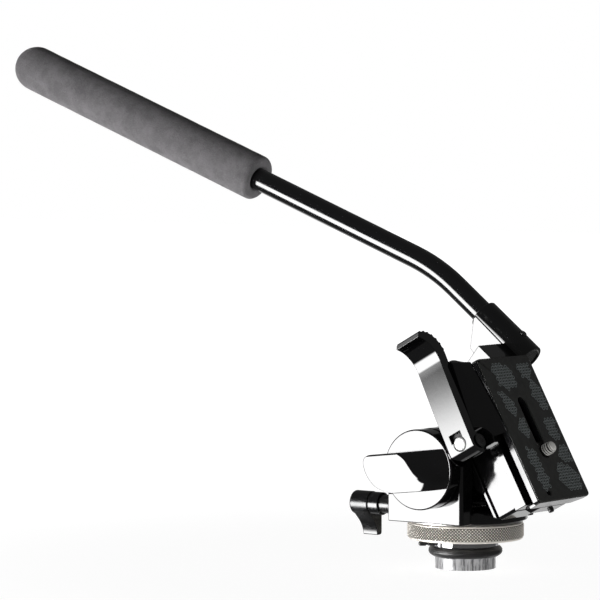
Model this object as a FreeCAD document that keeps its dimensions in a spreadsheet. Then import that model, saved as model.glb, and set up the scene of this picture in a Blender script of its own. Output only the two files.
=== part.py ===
"""Two-way (pan and tilt) fluid video head with one pan handle.

Millimetres, +Z up.  The origin is the bottom centre of the column spigot that the head
stands on.  +X is the way the camera looks, -Y is the side of the lock knob and the clamp
lever, and the handle is on the +Y side.  The head is shown tipped fully forward.

Pieces of the tilting camera platform are drawn level and then turned about the tilt axle:
for them X runs along the camera, Z is square to the platform, and 0, 0 is the axle.
"""
import FreeCAD, Part
import math
import os
import re
import Sketcher
from FreeCAD import Placement, Rotation, Vector

# ---------------------------------------------------------------------------- sizes

SIZES = {
    # fits
    "running_fit": 0.05,        # radial clearance of a shaft that turns in its bore
    "body_gap": 0.3,            # gap between faces of pieces that move past each other
    "press_fit": 0.02,          # radial clearance of a pin that stays in its hole
    # column spigot and base
    "column_radius": 15.6,
    "column_wall": 3.0,
    "spigot_length": 6.0,       # plain part of the column, which goes into a clamp
    "seat_radius": 16.2,        # the shoulder above it, under the rubber ring
    "column_height": 11.5,
    "ring_bottom": 6.2,         # lower edge of the rubber ring on the column
    "ring_radius": 19.0,
    "neck_radius": 17.0,
    "neck_height": 3.5,
    "plug_depth": 6.5,          # how far the neck reaches down into the column
    "boss_height": 3.0,         # threaded boss of the neck inside the base core
    "boss_radius": 12.0,
    "stud_radius": 4.76,        # 3/8 inch stud
    "stud_head_radius": 8.0,
    "lock_pin_radius": 1.3,
    "lock_pin_reach": 25.5,     # outer end of the neck's lock pin, from the axis
    "lock_pin_angle": 234.0,    # its compass direction about Z
    "core_radius": 20.0,
    "collar_radius": 30.0,
    "collar_height": 8.7,
    "collar_chamfer": 0.8,
    "disc_radius": 29.6,        # thin friction disc on top of the base core
    "disc_height": 0.9,
    "spindle_radius": 5.95,
    "spindle_depth": 5.5,       # how far the spindle screws into the core
    "spindle_head_radius": 10.0,
    "spindle_head_height": 2.6,
    # yoke
    "flange_radius": 32.0,
    "flange_height": 6.5,
    "flange_edge": 2.0,
    "bush_flange_height": 2.9,
    "bush_wall": 2.0,
    "axis_rise": 28.1,          # tilt axis above the flange's underside
    "cheek_radius": 20.5,
    "cheek_clearance": 1.0,     # between the hub's ends and the two cheeks, for the drag discs
    "cheek_thickness": 9.8,
    "cheek_corner": 2.0,
    "lug_back": 24.9,           # rear face of the pan-lock lug
    "lug_height": 15.5,
    "lug_inner": 19.0,
    "lug_front": 17.5,
    "axle_radius": 6.0,
    "knob_stud_radius": 4.0,
    "knob_stud_length": 18.0,
    "cap_radius": 14.0,
    "cap_height": 3.2,
    "drag_radius": 17.0,
    "drag_thickness": 0.65,
    # pan lock
    "pan_lock_y": -25.6,
    "pan_lock_rise": 7.4,       # lever axis above the flange's underside
    "pan_hub_radius": 5.9,
    "pan_hub_end": 40.0,
    "pan_boss_radius": 6.15,
    "pan_boss_end": 51.0,
    "pan_boss_edge": 1.0,
    "pan_tab_back": 49.8,
    "pan_tab_drop": 17.0,       # lever axis to the tab's tip
    "pan_tab_far": 8.0,         # lever axis to the tab's straight far side
    "pan_tab_bend_drop": 9.1,   # where the near side starts to bend down
    "pan_tab_tip_thickness": 3.8,
    "pan_screw_radius": 2.9,
    "pan_screw_end": 8.5,
    "pan_pad_radius": 1.8,
    "pan_pad_x": 10.0,
    # tilt lock knob
    "knob_radius": 20.5,
    "knob_thickness": 9.3,
    "knob_chamfer": 0.6,
    "knob_angle": -6.7,         # how the paddle droops below the level
    "paddle_top": 9.7,
    "paddle_bottom": 10.6,
    "paddle_reach": 26.9,
    "paddle_height": 10.6,      # how far the paddle stands above the knob's face
    # tilting hub
    "rest_tilt": 61.3,
    "hub_radius": 20.5,
    "hub_half_width": 23.0,
    "hub_bush_wall": 2.0,
    "hub_top": 19.2,
    "lip_thickness": 1.8,
    "lip_root": 13.9,           # height at which the lip leaves the round hub
    "platform_half_width": 23.5,
    # platform
    "slab_bottom": 20.4,
    "slab_half_length": 39.5,
    "slab_inset": 1.5,
    "platform_top": 37.9,
    "tray_bottom": 31.0,
    "tray_overhang": 2.3,       # how far the tray and the plate reach past the slab's front
    "slab_cut_back": 22.0,      # where the cut at the far front corner meets the far side
    "platform_chamfer": 1.5,
    "screw_spacing_x": 12.0,
    "screw_spacing_y": 12.0,
    "screw_radius": 2.4,
    "screw_head_radius": 4.2,
    "screw_head_height": 4.0,
    "platform_screw_length": 24.5,
    "catch_radius": 1.5,        # sprung safety catch in the tray's front
    "catch_y": 5.0,
    "catch_height": 32.6,
    "catch_reach": 1.6,
    "catch_depth": 4.3,
    # quick-release clamp
    "plate_bottom": 42.3,
    "plate_rear_inset": 1.2,
    "plate_half_width": 23.45,
    "plate_metal": 3.1,
    "pad_thickness": 1.0,
    "pad_margin": 0.1,
    "plate_corner": 2.0,
    "front_wall": 1.5,          # wall that hangs from the plate's front edge to the tray
    "front_wall_cut": 6.0,      # cut at the wall's lower far corner
    "foot_bottom": 38.2,
    "foot_half_top": 13.0,
    "foot_half_bottom": 16.0,
    "slot_rear": 15.5,
    "slot_front": 18.5,
    "slot_width": 6.8,
    "camera_screw_radius": 3.175,
    "camera_neck_radius": 2.6,  # undercut that keeps the screw in its retainer
    "thread_lift": 0.4,         # start of the screw's thread above the rubber pad
    "camera_screw_x": 15.0,
    "camera_screw_tip": 52.2,
    "screw_knob_radius": 7.0,
    "screw_knob_height": 3.9,
    "pin_hole_inset": 4.8,      # locating hole, from the plate's front edge
    "pin_hole_y": -12.0,
    "pin_hole_radius": 1.5,
    "fixed_jaw_screw_x": 22.0,
    "jaw_rear_overhang": 1.5,
    "jaw_front": 5.0,
    "jaw_bottom": 21.3,
    "jaw_outer": 38.4,          # outer face beside the pivot
    "jaw_outer_drop": 4.0,      # outer top edge below the crease
    "jaw_crease_y": 31.0,
    "jaw_crease_height": 41.0,
    "jaw_edge_rear_rise": 1.6,  # inner edge above the crease, at its rear end
    "jaw_edge_front_rise": 5.5,
    "jaw_edge_end": 2.2,
    "jaw_taper": 5.8,
    "jaw_end_slope": 3.0,
    "guide_radius": 2.5,
    "guide_height": 29.0,
    "guide_front": 18.5,
    "guide_rear_inset": 7.5,
    "guide_inner": 9.0,
    "guide_outer": 34.0,
    # clamp lever
    "pivot_x": 2.0,
    "pivot_y": -37.6,
    "pivot_radius": 2.5,
    "pivot_head_radius": 3.6,
    "barrel_radius": 7.0,
    "barrel_bottom": 22.9,
    "barrel_top": 37.4,
    "ear_top": 22.6,
    "lever_bottom": 22.0,
    "lever_top": 37.4,
    "lever_outer": 44.4,        # outer face beside the pivot
    "lever_inner": 38.9,
    "lever_straight": 44.6,     # pivot to where the outer face starts to curl
    "lever_lean": 3.4,          # how far the outer face leans in over that length
    "curl_reach": 14.4,
    "curl_out": 9.6,
    "curl_tip_back": 2.3,
    "curl_tip_in": 1.7,
    "shoulder_back": 48.2,      # pivot to where the inner face starts to curl
    "shoulder_lean": 5.1,
    "button_x": -0.2,
    "button_z": 30.1,
    "button_radius": 3.5,
    "button_length": 3.2,
    "button_proud": 0.3,
    "button_travel": 1.2,
    "window_depth": 3.0,
    "window_length": 4.2,
    "window_height": 7.3,
    # handle
    "handle_y": 31.5,
    "sleeve_radius": 8.0,
    "sleeve_length": 36.2,
    "sleeve_rim_x": -70.66,
    "sleeve_rim_z": 27.08,
    "sleeve_slope": 22.9,
    "tube_radius": 6.0,
    "tube_wall": 1.5,
    "tube_in_sleeve": 32.0,
    "bend_offset": 37.35,       # sleeve rim to the corner of the bend
    "bend_radius": 100.0,
    "grip_slope": 40.3,
    "grip_offset": 125.6,       # corner of the bend to the grip
    "grip_radius": 12.5,
    "grip_length": 180.0,
    "grip_edge": 2.5,
    "tube_in_grip": 150.0,
    "web_inner": 23.5,
    "web_outer": 39.5,
    "web_corner_x": 13.7,       # lower corner of the web, from the sleeve's rim
    "web_corner_drop": 11.3,
    "web_rise": 11.9,
    "block_inner": -1.0,
    "block_back": 49.5,
    "block_height": 36.7,
    "block_depth": 16.0,
    "bracket_screw_y": 11.0,
    "bracket_screw_spacing": 5.6,
    "bracket_screw_z": 29.5,
    "set_screw_radius": 2.0,
    "set_screw_along": 25.0,
}

document = FreeCAD.newDocument("video_head")
sheet = document.addObject("Spreadsheet::Sheet", "Sizes")
for row, (alias, number) in enumerate(SIZES.items(), start=1):
    sheet.set(f"A{row}", str(number))
    sheet.setAlias(f"A{row}", alias)
document.recompute()


def size(alias):
    """One size, read back from the sheet."""
    return float(sheet.get(alias))


def in_sheet(formula):
    """A formula of size names, written as an expression on the sheet."""
    def name_in_sheet(word):
        return "Sizes." + word[0] if word[0] in SIZES else word[0]
    return re.sub(r"[a-z][a-z_]*", name_in_sheet, str(formula))


def bind(thing, prop, formula):
    thing.setExpression(prop, in_sheet(formula))


# Heights that several pieces share, from the bottom up
NECK_TOP = "(column_height + neck_height)"
COLLAR_BOTTOM = f"({NECK_TOP} + body_gap)"
COLLAR_TOP = f"({COLLAR_BOTTOM} + collar_height)"
DISC_BOTTOM = f"({COLLAR_TOP} + body_gap)"
DISC_TOP = f"({DISC_BOTTOM} + disc_height)"
FLANGE_BOTTOM = f"({DISC_TOP} + body_gap)"
BUSH_TOP = f"({FLANGE_BOTTOM} + bush_flange_height)"
AXIS_Z = f"({FLANGE_BOTTOM} + axis_rise)"
PAN_LOCK_Z = f"({FLANGE_BOTTOM} + pan_lock_rise)"
LOCK_PIN_Z = "(column_height + 1.7)"
CHEEK_INNER = "(hub_half_width + cheek_clearance)"
CHEEK_OUTER = f"({CHEEK_INNER} + cheek_thickness)"
PIN_COS = "cos(lock_pin_angle * 1deg)"
PIN_SIN = "sin(lock_pin_angle * 1deg)"

# Places that several pieces of the tilting platform share
HUB_BORE = "(axle_radius + running_fit + hub_bush_wall)"
LONG_HALF = "(slab_half_length - slab_inset)"
TRAY_FRONT = "(slab_half_length + tray_overhang)"
PLATE_REAR = "(slab_half_length - plate_rear_inset)"
JAW_REAR = "(slab_half_length + jaw_rear_overhang)"
PLATFORM_SCREWS = [(f"{x} * screw_spacing_x", f"{y} * screw_spacing_y")
                   for x in (-1, 1) for y in (-1, 1)]
SCREW_SEAT = "(platform_top - screw_head_height - 0.4)"
GUIDE_PLACES = ["-guide_front", "guide_rear_inset - slab_half_length"]
BRACKET_SCREWS = ["bracket_screw_y - bracket_screw_spacing", "bracket_screw_y + bracket_screw_spacing"]
BRACKET_SEAT = "(-slab_half_length - 3.8)"
FIXED_JAW_SCREWS = ["-fixed_jaw_screw_x", "fixed_jaw_screw_x"]
FIXED_JAW_SCREW_Y = "(platform_half_width - 3.6)"
PAD_BOTTOM = "(plate_bottom + plate_metal)"
PAD_TOP = f"({PAD_BOTTOM} + pad_thickness)"
KNOB_ROOM = "(screw_knob_height + 2.1)"
PIN_HOLE_X = f"({TRAY_FRONT} - pin_hole_inset)"
SLEEVE_TURN = "90 - sleeve_slope"
SLEEVE_COS = "cos(sleeve_slope * 1deg)"
SLEEVE_SIN = "sin(sleeve_slope * 1deg)"

# ---------------------------------------------------------------------------- helpers

# How to turn a feature that is drawn along Z so that it points another way
TURNS = {"Z": (Vector(0, 0, 1), 0), "-Z": (Vector(1, 0, 0), 180),
         "X": (Vector(0, 1, 0), 90), "-X": (Vector(0, 1, 0), -90),
         "Y": (Vector(1, 0, 0), -90), "-Y": (Vector(1, 0, 0), 90)}
# The origin plane that is square to an axis, and the sign of its normal
PLANES = {"X": ("YZ_Plane", 1), "Y": ("XZ_Plane", -1), "Z": ("XY_Plane", 1)}
pieces = []
cuts = []


def lay_on_tilt(piece):
    """Turn a piece that is drawn level to the platform's tilt, about the axle."""
    piece.Placement = Placement(Vector(0, 0, 1), Rotation(Vector(0, 1, 0), 1))
    bind(piece, "Placement.Base.z", AXIS_Z)
    bind(piece, "Placement.Rotation.Angle", "rest_tilt")


def new_piece(label, tilted=False):
    body = document.addObject("PartDesign::Body", label)
    body.Label = label
    if tilted:
        lay_on_tilt(body)
    pieces.append(body)
    return body


def put(feature, at, toward):
    """Place a primitive: its corner or base centre at `at`, its length toward an axis.

    `toward` is a key of TURNS, or a formula: the angle from Z towards X.
    """
    if toward in TURNS:
        feature.Placement = Placement(Vector(), Rotation(*TURNS[toward]))
    else:
        feature.Placement = Placement(Vector(), Rotation(Vector(0, 1, 0), 1))
        bind(feature, "Placement.Rotation.Angle", toward)
    for axis, formula in zip("xyz", at):
        bind(feature, f"Placement.Base.{axis}", formula)


def primitive(body, kind, name, sizes, at=("0", "0", "0"), toward="Z", cut=False):
    mode = "Subtractive" if cut else "Additive"
    feature = body.newObject(f"PartDesign::{mode}{kind}", f"{body.Label}_{name}")
    put(feature, at, toward)
    for prop, formula in sizes.items():
        bind(feature, prop, formula)
    if cut:
        cuts.append(feature)
    return feature


def cylinder(body, name, radius, length, at=("0", "0", "0"), toward="Z", cut=False):
    return primitive(body, "Cylinder", name, {"Radius": radius, "Height": length}, at, toward, cut)


def new_sketch(body, name, axis, level):
    """A sketch square to an axis, at a level along it."""
    sketch = body.newObject("Sketcher::SketchObject", f"{body.Label}_{name}_sketch")
    role, sign = PLANES[axis]
    plane = next(plane for plane in body.Origin.OriginFeatures if plane.Role == role)
    sketch.AttachmentSupport = [(plane, "")]
    sketch.MapMode = "FlatFace"
    bind(sketch, "AttachmentOffset.Base.z", f"{sign} * ({level})")
    return sketch


def pin_point(sketch, item, end, corner):
    """Tie a point of a sketch to a pair of formulas, measured from the origin."""
    for kind, formula, axis in (("DistanceX", corner[0], -2), ("DistanceY", corner[1], -1)):
        if formula == "0":
            sketch.addConstraint(Sketcher.Constraint("PointOnObject", item, end, axis))
        else:
            number = sketch.addConstraint(Sketcher.Constraint(kind, -1, 1, item, end, 1.0))
            bind(sketch, f"Constraints[{number}]", formula)


def draw_outline(sketch, corners):
    """A closed outline of straight edges whose corners are pairs of formulas."""
    count = len(corners)
    first = sketch.GeometryCount
    turn = 2 * math.pi / count
    ring = [Vector(math.cos(turn * i), math.sin(turn * i), 0) for i in range(count)]
    for i in range(count):
        sketch.addGeometry(Part.LineSegment(ring[i], ring[(i + 1) % count]))
    for i in range(count):
        sketch.addConstraint(Sketcher.Constraint("Coincident", first + i, 2, first + (i + 1) % count, 1))
    for i, corner in enumerate(corners):
        pin_point(sketch, first + i, 1, corner)


def extrude(body, name, sketch, length, cut):
    kind = "Pocket" if cut else "Pad"
    feature = body.newObject(f"PartDesign::{kind}", f"{body.Label}_{name}")
    feature.Profile = sketch
    bind(feature, "Length", length)
    if cut:
        feature.Reversed = True
        cuts.append(feature)
    return feature


def prism(body, name, axis, low, high, corners, cut=False):
    """An outline square to an axis, carried from one level to another along it."""
    sketch = new_sketch(body, name, axis, high if axis == "Y" else low)
    draw_outline(sketch, corners)
    return extrude(body, name, sketch, f"({high}) - ({low})", cut)


def turned(body, name, corners):
    """A piece turned about Z: corners are (radius, height)."""
    sketch = new_sketch(body, name, "Y", "0")
    draw_outline(sketch, corners)
    feature = body.newObject("PartDesign::Revolution", f"{body.Label}_{name}")
    feature.Profile = sketch
    feature.ReferenceAxis = (sketch, ["V_Axis"])
    feature.Angle = 360
    return feature


def loft(body, name, axis, sections):
    """A solid between outlines at levels along an axis."""
    sketches = []
    for number, (level, corners) in enumerate(sections):
        sketch = new_sketch(body, f"{name}_{number}", axis, level)
        draw_outline(sketch, corners)
        sketches.append(sketch)
    feature = body.newObject("PartDesign::AdditiveLoft", f"{body.Label}_{name}")
    feature.Profile = sketches[0]
    feature.Sections = sketches[1:]
    feature.Ruled = True
    return feature


def soften(body, name, kind, amount, wanted):
    """Fillet or chamfer the edges of the newest feature that `wanted` picks."""
    document.recompute()
    base = body.Tip
    edges = [f"Edge{i}" for i, edge in enumerate(base.Shape.Edges, start=1) if wanted(edge)]
    feature = body.newObject(f"PartDesign::{kind}", f"{body.Label}_{name}")
    feature.Base = (base, edges)
    bind(feature, "Radius" if kind == "Fillet" else "Size", amount)
    return feature


def middle(edge):
    return edge.valueAt((edge.FirstParameter + edge.LastParameter) / 2)


def near(value, target):
    return abs(value - target) < 0.01


def tangent_arc(before, start, end):
    """An arc from start to end that carries on smoothly from the line before it."""
    along = (start - before).normalize()
    across = Vector(-along.y, along.x, 0)
    chord = end - start
    radius = chord.dot(chord) / (2 * chord.dot(across))
    centre = start + across * radius
    outward = ((start + end) * 0.5 - centre).normalize()
    return Part.Arc(start, centre + outward * abs(radius), end)


def simple(kind, name, sizes, at, toward="Z"):
    """A plain Part primitive, for groups of separate solids."""
    feature = document.addObject(f"Part::{kind}", name)
    put(feature, at, toward)
    for prop, formula in sizes.items():
        bind(feature, prop, formula)
    return feature


def fused(name, parts):
    feature = document.addObject("Part::MultiFuse", name)
    feature.Shapes = parts
    return feature


def group(label, parts, tilted=False):
    """Several separate solids of one kind, as one node."""
    feature = document.addObject("Part::Compound", label)
    feature.Label = label
    feature.Links = parts
    if tilted:
        lay_on_tilt(feature)
    pieces.append(feature)
    return feature


def bolt(name, at, toward, back, head_radius, head_height, shank_radius, length):
    """A socket screw.  `at` is the seat of its head; `back` is the place of the head's top."""
    head = simple("Cylinder", f"{name}_head", {"Radius": head_radius, "Height": head_height}, back, toward)
    shank = simple("Cylinder", f"{name}_shank", {"Radius": shank_radius, "Height": f"{length} + 0.5"},
                   at, toward)
    return fused(name, [head, shank])


# ---------------------------------------------------------------------------- column and base

def make_column_tube():
    tube = new_piece("column_tube")
    cylinder(tube, "outside", "column_radius", "column_height")
    cylinder(tube, "seat", "seat_radius", "column_height - spigot_length", ("0", "0", "spigot_length"))
    cylinder(tube, "bore", "column_radius - column_wall", "column_height", cut=True)


def make_rubber_ring():
    ring = new_piece("rubber_ring")
    turned(ring, "section", [
        ("seat_radius + press_fit", "ring_bottom"),
        ("ring_radius - 2.4", "ring_bottom"),
        ("ring_radius - 0.6", "ring_bottom + 1.2"),
        ("ring_radius", "ring_bottom + 2.3"),
        ("ring_radius", "ring_bottom + 3.1"),
        ("ring_radius - 0.7", "column_height - 0.6"),
        ("ring_radius - 1.5", "column_height"),
        ("seat_radius + press_fit", "column_height")])


def make_spigot_neck():
    neck = new_piece("spigot_neck")
    cylinder(neck, "plug", "column_radius - column_wall - press_fit", "plug_depth",
             ("0", "0", "column_height - plug_depth"))
    cylinder(neck, "neck", "neck_radius", "neck_height", ("0", "0", "column_height"))
    cylinder(neck, "boss", "boss_radius", "boss_height", ("0", "0", NECK_TOP))
    cylinder(neck, "bore", "stud_radius + press_fit", "plug_depth + neck_height + boss_height - 1.2",
             ("0", "0", "column_height - plug_depth"), cut=True)
    primitive(neck, "Cylinder", "pin_hole",
              {"Radius": "lock_pin_radius + running_fit", "Height": "neck_radius"},
              (f"{PIN_COS} * (neck_radius - 3.5)", f"{PIN_SIN} * (neck_radius - 3.5)", LOCK_PIN_Z),
              "X", cut=True)
    aim_at_compass(neck.Tip)


def aim_at_compass(feature):
    """Turn a feature that points along X to the lock pin's direction about Z."""
    compass = Rotation(Vector(0, 0, 1), size("lock_pin_angle"))
    feature.Placement.Rotation = compass * Rotation(Vector(0, 1, 0), 90)


def make_collar_lock_pin():
    pin = new_piece("neck_lock_pin")
    cylinder(pin, "pin", "lock_pin_radius", "lock_pin_reach - neck_radius + 3",
             (f"{PIN_COS} * (neck_radius - 3)", f"{PIN_SIN} * (neck_radius - 3)", LOCK_PIN_Z), "X")
    aim_at_compass(pin.Tip)


def make_mounting_stud():
    stud = new_piece("mounting_stud")
    cylinder(stud, "shank", "stud_radius", "plug_depth + neck_height + boss_height - 1.5",
             ("0", "0", "column_height - plug_depth"))
    primitive(stud, "Prism", "head", {"Circumradius": "stud_head_radius", "Height": "4"},
              ("0", "0", "column_height - plug_depth - 4"))


def make_base_core():
    core = new_piece("base_core")
    cylinder(core, "core", "core_radius", f"{DISC_BOTTOM} - {NECK_TOP}", ("0", "0", NECK_TOP))
    cylinder(core, "disc", "disc_radius", "disc_height", ("0", "0", DISC_BOTTOM))
    cylinder(core, "boss_hole", "boss_radius + press_fit", "boss_height + 0.2",
             ("0", "0", NECK_TOP), cut=True)
    cylinder(core, "spindle_hole", "spindle_radius + press_fit", "spindle_depth + 0.2",
             ("0", "0", f"{DISC_TOP} - spindle_depth - 0.2"), cut=True)


def make_knurled_collar():
    collar = new_piece("knurled_collar")
    bore = "core_radius + running_fit"
    turned(collar, "section", [
        (bore, COLLAR_BOTTOM),
        ("collar_radius - collar_chamfer", COLLAR_BOTTOM),
        ("collar_radius", f"{COLLAR_BOTTOM} + collar_chamfer"),
        ("collar_radius", f"{COLLAR_TOP} - 0.4"),
        ("collar_radius - 0.4", COLLAR_TOP),
        (bore, COLLAR_TOP)])


def make_pan_spindle():
    spindle = new_piece("pan_spindle")
    cylinder(spindle, "shaft", "spindle_radius", f"{BUSH_TOP} + body_gap - {DISC_TOP} + spindle_depth",
             ("0", "0", f"{DISC_TOP} - spindle_depth"))
    cylinder(spindle, "head", "spindle_head_radius", "spindle_head_height",
             ("0", "0", f"{BUSH_TOP} + body_gap"))
    primitive(spindle, "Prism", "socket", {"Circumradius": "spindle_radius * 0.6", "Height": "2"},
              ("0", "0", f"{BUSH_TOP} + body_gap + spindle_head_height - 1.6"), cut=True)


# ---------------------------------------------------------------------------- yoke

def cheek_faces():
    """Distances of the cheeks' inner and outer faces from the middle."""
    inner = size("hub_half_width") + size("cheek_clearance")
    return inner, inner + size("cheek_thickness")


def make_pan_yoke():
    yoke = new_piece("pan_yoke")
    stack = ("column_height", "neck_height", "collar_height", "disc_height")
    flange_bottom = sum(size(name) for name in stack) + 3 * size("body_gap")
    flange_middle = flange_bottom + size("flange_height") / 2
    lug_top = flange_bottom + size("lug_height")
    cheek_inner, cheek_outer = cheek_faces()
    cylinder(yoke, "flange", "flange_radius", "flange_height", ("0", "0", FLANGE_BOTTOM))
    rim = size("flange_radius")
    soften(yoke, "flange_edge", "Fillet", "flange_edge",
           lambda edge: near(edge.BoundBox.XLength, 2 * rim) and middle(edge).z > flange_middle)
    for side, low, high in (("near", f"-{CHEEK_OUTER}", f"-{CHEEK_INNER}"),
                            ("far", CHEEK_INNER, CHEEK_OUTER)):
        cylinder(yoke, f"{side}_round", "cheek_radius", "cheek_thickness",
                 ("0", high, AXIS_Z), "-Y")
        prism(yoke, f"{side}_cheek", "Y", low, high, [
            ("cheek_radius", FLANGE_BOTTOM),
            ("cheek_radius", AXIS_Z),
            ("-cheek_radius", AXIS_Z),
            ("-cheek_radius", f"{FLANGE_BOTTOM} + lug_height"),
            ("-lug_back", f"{FLANGE_BOTTOM} + lug_height"),
            ("-lug_back", FLANGE_BOTTOM)])
    prism(yoke, "lug", "Y", f"-{CHEEK_OUTER}", "-lug_inner", [
        ("-lug_front", FLANGE_BOTTOM),
        ("-lug_front", f"{FLANGE_BOTTOM} + lug_height - 2"),
        ("-lug_front - 2", f"{FLANGE_BOTTOM} + lug_height"),
        ("-lug_back", f"{FLANGE_BOTTOM} + lug_height"),
        ("-lug_back", FLANGE_BOTTOM)])
    soften(yoke, "lug_blend", "Fillet", "cheek_corner",
           lambda edge: near(middle(edge).x, -size("cheek_radius")) and near(middle(edge).z, lug_top)
           and abs(middle(edge).y) > cheek_inner)
    soften(yoke, "front_corners", "Fillet", "cheek_corner",
           lambda edge: near(abs(middle(edge).y), cheek_outer)
           and near(middle(edge).x, size("cheek_radius"))
           and edge.BoundBox.ZLength > size("axis_rise") / 2)
    cylinder(yoke, "axle_bore", "axle_radius + press_fit", f"2 * {CHEEK_OUTER} + 2",
             ("0", f"{CHEEK_OUTER} + 1", AXIS_Z), "-Y", cut=True)
    cylinder(yoke, "bush_bore", "spindle_radius + running_fit + bush_wall", "flange_height",
             ("0", "0", FLANGE_BOTTOM), cut=True)
    cylinder(yoke, "head_recess", "spindle_head_radius + body_gap", "flange_height",
             ("0", "0", BUSH_TOP), cut=True)
    cylinder(yoke, "pan_lock_bore", "pan_screw_radius + running_fit", "lug_back - pan_screw_end + 1",
             ("-lug_back - 0.5", "pan_lock_y", PAN_LOCK_Z), "X", cut=True)
    cylinder(yoke, "pad_bore", "pan_pad_radius + press_fit", "pan_lock_rise",
             ("-pan_pad_x", "pan_lock_y", FLANGE_BOTTOM), cut=True)


def make_pan_bush():
    bush = new_piece("pan_bush")
    cylinder(bush, "outside", "spindle_radius + running_fit + bush_wall - press_fit",
             "bush_flange_height", ("0", "0", FLANGE_BOTTOM))
    cylinder(bush, "bore", "spindle_radius + running_fit", "bush_flange_height",
             ("0", "0", FLANGE_BOTTOM), cut=True)


def make_tilt_axle():
    axle = new_piece("tilt_axle")
    cylinder(axle, "shaft", "axle_radius", f"2 * {CHEEK_OUTER} - body_gap", ("0", CHEEK_OUTER, AXIS_Z), "-Y")
    cylinder(axle, "stud_bore", "knob_stud_radius + running_fit", "knob_stud_length + 1",
             ("0", f"-{CHEEK_OUTER} + body_gap", AXIS_Z), "Y", cut=True)


def make_axle_cap():
    cap = new_piece("axle_cap")
    cylinder(cap, "disc", "cap_radius", "cap_height", ("0", CHEEK_OUTER, AXIS_Z), "Y")
    outer = cheek_faces()[1] + size("cap_height")
    soften(cap, "edge", "Fillet", "1", lambda edge: near(middle(edge).y, outer))


def make_drag_discs():
    discs = []
    for side, base in (("near", f"-{CHEEK_INNER}"), ("far", f"{CHEEK_INNER} - drag_thickness")):
        disc = document.addObject("Part::Cut", f"drag_disc_{side}")
        disc.Base = simple("Cylinder", f"drag_{side}_outside",
                           {"Radius": "drag_radius", "Height": "drag_thickness"},
                           ("0", base, AXIS_Z), "Y")
        disc.Tool = simple("Cylinder", f"drag_{side}_bore",
                           {"Radius": "axle_radius + press_fit", "Height": "drag_thickness"},
                           ("0", base, AXIS_Z), "Y")
        discs.append(disc)
    group("drag_discs", discs)


def make_pan_lock():
    lever = new_piece("pan_lock_lever")
    at = ("pan_lock_y", PAN_LOCK_Z)
    cylinder(lever, "hub", "pan_hub_radius", "pan_hub_end - lug_back - body_gap + 1",
             ("-lug_back - body_gap", *at), "-X")
    cylinder(lever, "boss", "pan_boss_radius", "pan_boss_end - pan_hub_end", ("-pan_hub_end", *at), "-X")
    end = -size("pan_boss_end")
    soften(lever, "boss_end", "Fillet", "pan_boss_edge", lambda edge: near(middle(edge).x, end))
    sketch = new_sketch(lever, "tab", "X", "-pan_tab_back")
    for item in pan_tab_outline():
        sketch.addGeometry(item)
    extrude(lever, "tab", sketch, "pan_tab_back - pan_hub_end", cut=False)
    cylinder(lever, "screw_hole", "pan_screw_radius + press_fit", "8",
             ("-lug_back", *at), "-X", cut=True)

    screw = new_piece("pan_lock_screw")
    cylinder(screw, "shank", "pan_screw_radius", "lug_back - pan_screw_end + 7.5",
             ("-lug_back - 7.5", *at), "X")

    pad = new_piece("pan_lock_pad")
    cylinder(pad, "pad", "pan_pad_radius", "pan_lock_rise - pan_screw_radius - 0.2",
             ("-pan_pad_x", "pan_lock_y", f"{FLANGE_BOTTOM} + 0.1"))


def pan_tab_outline():
    """The tab seen along X: off the boss at 45 degrees, then bending down to a thin tip."""
    stack = ("column_height", "neck_height", "collar_height", "disc_height", "pan_lock_rise")
    axis = Vector(size("pan_lock_y"), sum(size(name) for name in stack) + 3 * size("body_gap"), 0)
    radius, drop, far = size("pan_boss_radius"), size("pan_tab_drop"), size("pan_tab_far")
    leave = axis + Vector(-1, -1, 0).normalize() * radius
    run = size("pan_tab_bend_drop") - (axis.y - leave.y)
    bend = leave + Vector(run, -run, 0)
    tip_near = axis + Vector(far - size("pan_tab_tip_thickness"), -drop, 0)
    tip_far = axis + Vector(far, -drop, 0)
    shoulder = axis + Vector(far, -radius, 0)
    join = axis + Vector(radius, 0, 0)
    return [Part.LineSegment(axis, leave),
            Part.LineSegment(leave, bend),
            tangent_arc(leave, bend, tip_near),
            Part.LineSegment(tip_near, tip_far),
            Part.LineSegment(tip_far, shoulder),
            Part.LineSegment(shoulder, join),
            Part.LineSegment(join, axis)]


def make_tilt_lock_knob():
    """Round knob with a paddle.  Drawn about its own axis, with the paddle along -X."""
    knob = new_piece("tilt_lock_knob")
    knob.Placement = Placement(Vector(0, 0, 1), Rotation(Vector(0, 1, 0), 1))
    bind(knob, "Placement.Base.z", AXIS_Z)
    bind(knob, "Placement.Rotation.Angle", "knob_angle")
    back = f"({CHEEK_OUTER} + body_gap)"
    face = f"({back} + knob_thickness)"
    cylinder(knob, "disc", "knob_radius", "knob_thickness", ("0", f"-{back}", "0"), "-Y")
    front = -cheek_faces()[1] - size("body_gap") - size("knob_thickness")
    soften(knob, "rim", "Chamfer", "knob_chamfer", lambda edge: near(middle(edge).y, front))
    # the paddle: an outline seen along Y, higher at its free end than at the knob's rim
    loft(knob, "paddle", "Z", [
        ("-paddle_bottom", paddle_section("paddle_reach * 0.36", face)),
        ("-paddle_bottom * 0.5", paddle_section("paddle_reach * 0.84", face)),
        ("paddle_top * 0.65", paddle_section("paddle_reach", face)),
        ("paddle_top", paddle_section("paddle_reach - 3.4", face))])

    stud = new_piece("tilt_lock_stud")
    cylinder(stud, "shank", "knob_stud_radius", "knob_stud_length + 4",
             ("0", f"-{back} - 4", AXIS_Z), "Y")
    cylinder(knob, "stud_hole", "knob_stud_radius + press_fit", "4.2", ("0", f"-{back}", "0"), "-Y",
             cut=True)


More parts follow.
